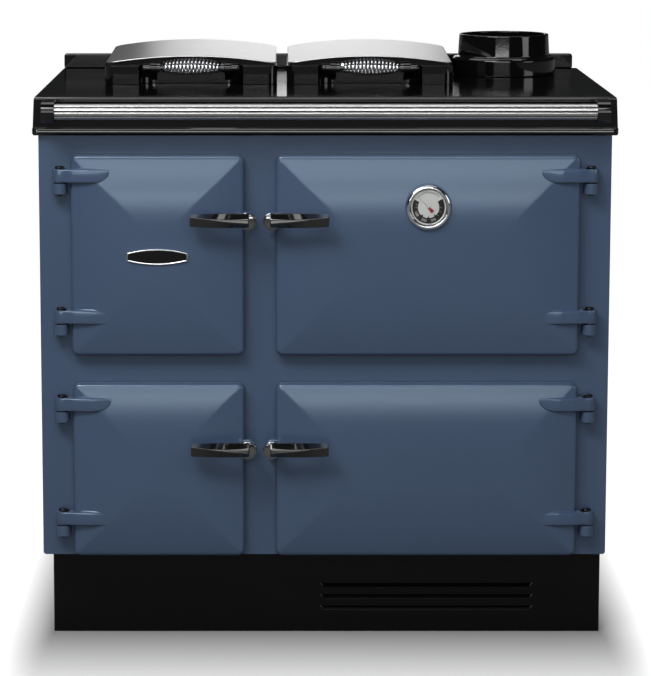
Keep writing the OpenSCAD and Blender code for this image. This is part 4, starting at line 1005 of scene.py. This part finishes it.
# %% Bezel
BEZEL = [
    (0, 32.5), (37.6, 32.5), (38, 33), (38, 36.2), (37.6, 37.6), (36.4, 39.2), (34.8, 40.2), (33.4, 40.5),
    (32, 40.2), (31.2, 39.4), (30.8, 38.6), (30.0, 38.2), (29.6, 37.4), (29.5, 34), (0, 34),
]
STEM = [(0, -25), (3.6, -25), (4, -24.5), (4, 32.6), (0, 32.6)]


def chaikin(points, times, closed=False, ratio=0.22):
    """Rounds the corners of a line by cutting them."""
    for _ in range(times):
        out = [] if closed else [points[0]]
        for (ax, ay), (bx, by) in zip(points, points[1:] + points[:1] if closed else points[1:]):
            out.append((ax + (bx - ax) * ratio, ay + (by - ay) * ratio))
            out.append((ax + (bx - ax) * (1 - ratio), ay + (by - ay) * (1 - ratio)))
        if not closed:
            out.append(points[-1])
        points = out
    return points


bezel = lathe(BEZEL[:2] + chaikin(BEZEL[1:-2], 2) + BEZEL[-2:], DIAL_AT, "-Y", 96)
stem = lathe(STEM, DIAL_AT, "-Y", 24)
stand_in(add_object("bezel", *merged(bezel, stem)), "thermometer_bezel")
print("bezel points", len(bezel[0]))

# %% Dial
FACE_OUT = 35.0
INKED, PALE, NEEDLE = (FACE_OUT + 0.12, FACE_OUT - 0.3), (FACE_OUT + 0.2, FACE_OUT), (36.6, 36.1)
NUMERAL_OUT, NUMERAL_R, NUMERAL_H, NUMERAL_T = FACE_OUT + 0.16, 22.7, 0.0062, 0.00006


def on_dial(r, deg, out):
    a = math.radians(deg)
    return (DIAL_AT[0] + mm(r * math.cos(a)), DIAL_AT[1] - mm(out), DIAL_AT[2] + mm(r * math.sin(a)))


def sector(r0, r1, a0, a1, out, back, n=1):
    """A flat piece of a ring on the dial."""
    rings = []
    for k in range(n + 1):
        a = a0 + (a1 - a0) * k / n
        rings.append([on_dial(r0, a, back), on_dial(r1, a, back), on_dial(r1, a, out), on_dial(r0, a, out)])
    return loft(rings)


def tick(deg, r0, r1, half, out, back):
    return sector(r0, r1, deg - half, deg + half, out, back)


def spike(deg, r0, r1, half, out, back):
    pts = [(r0, deg - half), (r0, deg + half), (r1, deg)]
    return loft([[on_dial(r, a, h) for r, a in pts] for h in (back, out)])


def numeral(text, deg):
    """A number as a thin raised mesh, turned so that it reads round the scale."""
    curve = bpy.data.curves.new("numeral", "FONT")
    curve.body, curve.size, curve.extrude = text, NUMERAL_H, NUMERAL_T
    curve.align_x, curve.align_y = "CENTER", "CENTER"
    tmp = bpy.data.objects.new("numeral", curve)
    scene.collection.objects.link(tmp)
    mesh = bpy.data.meshes.new_from_object(tmp.evaluated_get(bpy.context.evaluated_depsgraph_get()))
    bpy.data.objects.remove(tmp)
    spot = Vector(on_dial(NUMERAL_R, deg, NUMERAL_OUT))
    turn = Matrix.Rotation(-math.radians(deg + 90), 4, "Y") @ Matrix.Rotation(math.pi / 2, 4, "X")
    mesh.transform(Matrix.Translation(spot) @ turn)
    return [tuple(v.co) for v in mesh.vertices], [tuple(p.vertices) for p in mesh.polygons]


scale = [sector(18, 27.4, 150, 393, *INKED, 120)]
scale += [spike(a, 18.2, 14.6, 6, *INKED) for a in (232, 270, 308)]
scale += [tick(a, 23.4, 26.8, 0.7, *INKED) for a in range(48, 141, 8)]
scale += [tick(a, 24.6, 26.8, 0.45, *INKED) for a in range(52, 137, 8)]
ink = add_object("dial_scale", *merged(*scale), smooth=False)
paint(ink, INK)
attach(ink, "oven_door")

marks = [numeral(text, a) for text, a in (("100", 208), ("200", 250), ("300", 291))]
marks += [tick(a, 19.4, 21.6, 0.8, *PALE) for a in (166, 180, 320, 340, 360)]
pale = add_object("dial_marks", *merged(*marks), smooth=False)
paint(pale, DIAL)
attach(pale, "oven_door")
print("dial", len(ink.data.polygons), len(pale.data.polygons))

# %% Needle
HUB = [(0, 34.2), (1.2, 34.2), (1.2, 36.0), (2.4, 36.05), (2.6, 36.5), (2.4, 37), (1.6, 37.3), (0, 37.4)]
COUNTERWEIGHT = ((1.8, 224), (11.2, 297), (11.2, 331), (1.8, 44))

pointer = [
    spike(134, 0.5, 23.8, 88, *NEEDLE),
    loft([[on_dial(r, a, h) for r, a in COUNTERWEIGHT] for h in NEEDLE[::-1]]),
]
red = add_object("pointer", *merged(*pointer), smooth=False)
stand_in(red, "thermometer_needle")
hub = add_object("pointer_hub", *lathe(HUB, DIAL_AT, "-Y", 32))
paint(hub, CHROME)
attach(hub, "thermometer_needle")
print("needle", len(red.data.polygons), len(hub.data.polygons))

# %% Badge
BADGE_X, BADGE_Z = 146.5, 172
BADGE_W, BADGE_H, BADGE_END = 104, 27, 13
BADGE_BOW = (BADGE_H - BADGE_END) / 2
BADGE_R = (BADGE_W**2 / 4 + BADGE_BOW**2) / (2 * BADGE_BOW)
RIM = [
    (2.4, 31.5), (0.3, 31.5), (0, 31.8), (0, 34.6), (0.15, 35.1), (0.5, 35.4), (1.1, 35.5), (1.7, 35.4),
    (2.2, 35.1), (2.4, 34.6), (2.4, 31.5),
]
FIELD = [(2.2, 31.6), (2.2, 34.5)]


def badge_line(inset):
    """Outline of the badge: two bowed long sides, straight ends and rounded corners."""
    half, steps = BADGE_W / 2 - inset, 24
    across = [half * (1 - 2 * k / steps) for k in range(steps + 1)]
    top = [(x, math.sqrt((BADGE_R - inset) ** 2 - x**2) - BADGE_R + BADGE_H / 2) for x in across]
    return chaikin(top + [(x, -z) for x, z in reversed(top)], 3, closed=True, ratio=0.25)


def badge_rings(stations):
    return [
        [at_door("fire_door", BADGE_X + x, out, BADGE_Z + z) for x, z in badge_line(inset)]
        for inset, out in stations
    ]


rim = add_object("badge_rim", *sleeve(badge_rings(RIM)))
paint(rim, CHROME)
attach(rim, "fire_door")
field = add_object("badge_field", *loft(badge_rings(FIELD)))
dress(field, "badge_plate")
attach(field, "fire_door")
for piece in (rim, field):
    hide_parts("badge_plate")
    print(piece.name, len(piece.data.polygons))

# %% [markdown]
# ## Rope seals and the screws at the back
#
# The seal is a glass-fibre rope pressed in behind each door. The back panel is held by rows of small screws;
# a row follows a rule, so Geometry Nodes lays it out from a count and a spacing.

# %% Seals
ROPE_IN, ROPE_OUT, ROPE_HALF_W, ROPE_HALF_T, ROPE_CORNER = 22, -2.35, 4.8, 2.3, 31
ROPE_STEPS = 14

for door in DOORS:
    w, h = DOORS[door][3:]
    rings = []
    for k in range(ROPE_STEPS + 1):
        a = 2 * math.pi * k / ROPE_STEPS
        inset, out = ROPE_IN + ROPE_HALF_W * math.cos(a), ROPE_OUT + ROPE_HALF_T * math.sin(a)
        line = rounded_ring(w, h, inset, ROPE_CORNER - inset, 20, 20, 8)
        rings.append([at_door(door, x, out, z) for x, z in line])
    rope = stand_in(add_object(door + "_rope", *sleeve(rings)), door + "_seal")
    print(rope.name, len(rope.data.polygons))

# %% Screws
SCREW_Y, SCREW_UP, SCREW_ACROSS = 345.6, (0, 0, 120), (118.33, 0, 0)
HEAD = {"Head radius": 0.005, "Head height": 0.0026}


def make_screw_tree():
    """A straight row of screw heads that face the back."""
    tree, given = new_tree(
        "GeometryNodeTree", "screw_row",
        [("Geometry", SHAPE), ("Count", WHOLE), ("Spacing", VECTOR), ("Head radius", FLOAT), ("Head height", FLOAT),
         ("Material", FINISH)],
        [("Geometry", SHAPE)],
    )
    row = add_node(tree, "GeometryNodeMeshLine", {"Count": given["Count"], "Offset": given["Spacing"]})
    head = add_node(tree, "GeometryNodeMeshCylinder", {
        "Vertices": 20, "Radius": given["Head radius"], "Depth": given["Head height"],
    })
    spread = add_node(tree, "GeometryNodeInstanceOnPoints", {
        "Points": row.outputs["Mesh"], "Instance": head.outputs["Mesh"], "Rotation": (math.pi / 2, 0, 0),
    })
    return end_tree(tree, spread.outputs["Instances"], given["Material"])


SCREWS = make_screw_tree()
for i, (x, z, spacing) in enumerate((
    (-475, 190, SCREW_UP), (475, 190, SCREW_UP), (-355, 925, SCREW_ACROSS), (-355, 172, SCREW_ACROSS),
)):
    values = {"Count": 7, "Spacing": mm(*spacing), **HEAD}
    screws = grown(f"back_screws_{i}", SCREWS, values, mm(x, SCREW_Y, z), CHROME)
    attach(screws, "cabinet")
    print(screws.name, len(screws.data.polygons))

# %% [markdown]
# ## The floor
#
# To the camera the floor is as white as the backdrop, with a soft painted shadow round the plinth: its glow is
# turned down near the base, on top of the lamps' real shadow. What shines sees a part of that, and for everything
# else it is a dark floor that throws little light back.

# %% Floor
PLINTH_AT, PLINTH_HALF = (0.005, 0.07, 0), (0.478, 0.272, 0)
SIDE_PACE, PAINTED_SHADOW_WIDTH, PAINTED_SHADOW_LEAST = (6, 1, 1), 0.5, 0.07

floor_mesh = bpy.data.meshes.new("floor")
floor_mesh.from_pydata([(-30, -30, 0), (30, -30, 0), (30, 30, 0), (-30, 30, 0)], [], [(0, 1, 2, 3)])
floor = bpy.data.objects.new("floor", floor_mesh)
scene.collection.objects.link(floor)
floor_mat, ground, dark = blank("floor", {"Base Color": (0.05, 0.05, 0.05, 1), "Roughness": 0.9})
spot = add_node(ground, "ShaderNodeTexCoord").outputs["Object"]
from_middle = calc(ground, "SUBTRACT", spot, PLINTH_AT, kind=VECTOR_MATH)
across = calc(ground, "ABSOLUTE", from_middle, kind=VECTOR_MATH)
past = calc(ground, "SUBTRACT", across, PLINTH_HALF, kind=VECTOR_MATH)
beyond = calc(ground, "MAXIMUM", past, (0, 0, 0), kind=VECTOR_MATH)
paced = calc(ground, "MULTIPLY", beyond, SIDE_PACE, kind=VECTOR_MATH)
away = add_node(ground, VECTOR_MATH, {0: paced}, operation="LENGTH").outputs["Value"]
# The glow is dimmed close to the plinth: a painted shadow that fades out over half a metre, sooner at the sides.
span = {"Value": away, "From Min": 0.0, "From Max": PAINTED_SHADOW_WIDTH, "To Min": PAINTED_SHADOW_LEAST, "To Max": 1.0}
bright = add_node(ground, "ShaderNodeMapRange", span).outputs["Result"]
glow = add_node(ground, "ShaderNodeEmission", {"Strength": bright})
grey = add_node(ground, "ShaderNodeBsdfDiffuse", {"Color": (0.25, 0.25, 0.25, 1)})
pale_floor = add_node(ground, "ShaderNodeAddShader", {0: grey.outputs[0], 1: glow.outputs[0]})
mix = {"Fac": seen_by(ground, MIRRORED_FLOOR), 1: dark.outputs[0], 2: pale_floor.outputs[0]}
surface = add_node(ground, "ShaderNodeMixShader", mix).outputs[0]
ground.links.new(surface, next(x for x in ground.nodes if x.type == "OUTPUT_MATERIAL").inputs["Surface"])
floor.data.materials.append(floor_mat)
print("floor nodes", len(ground.nodes))
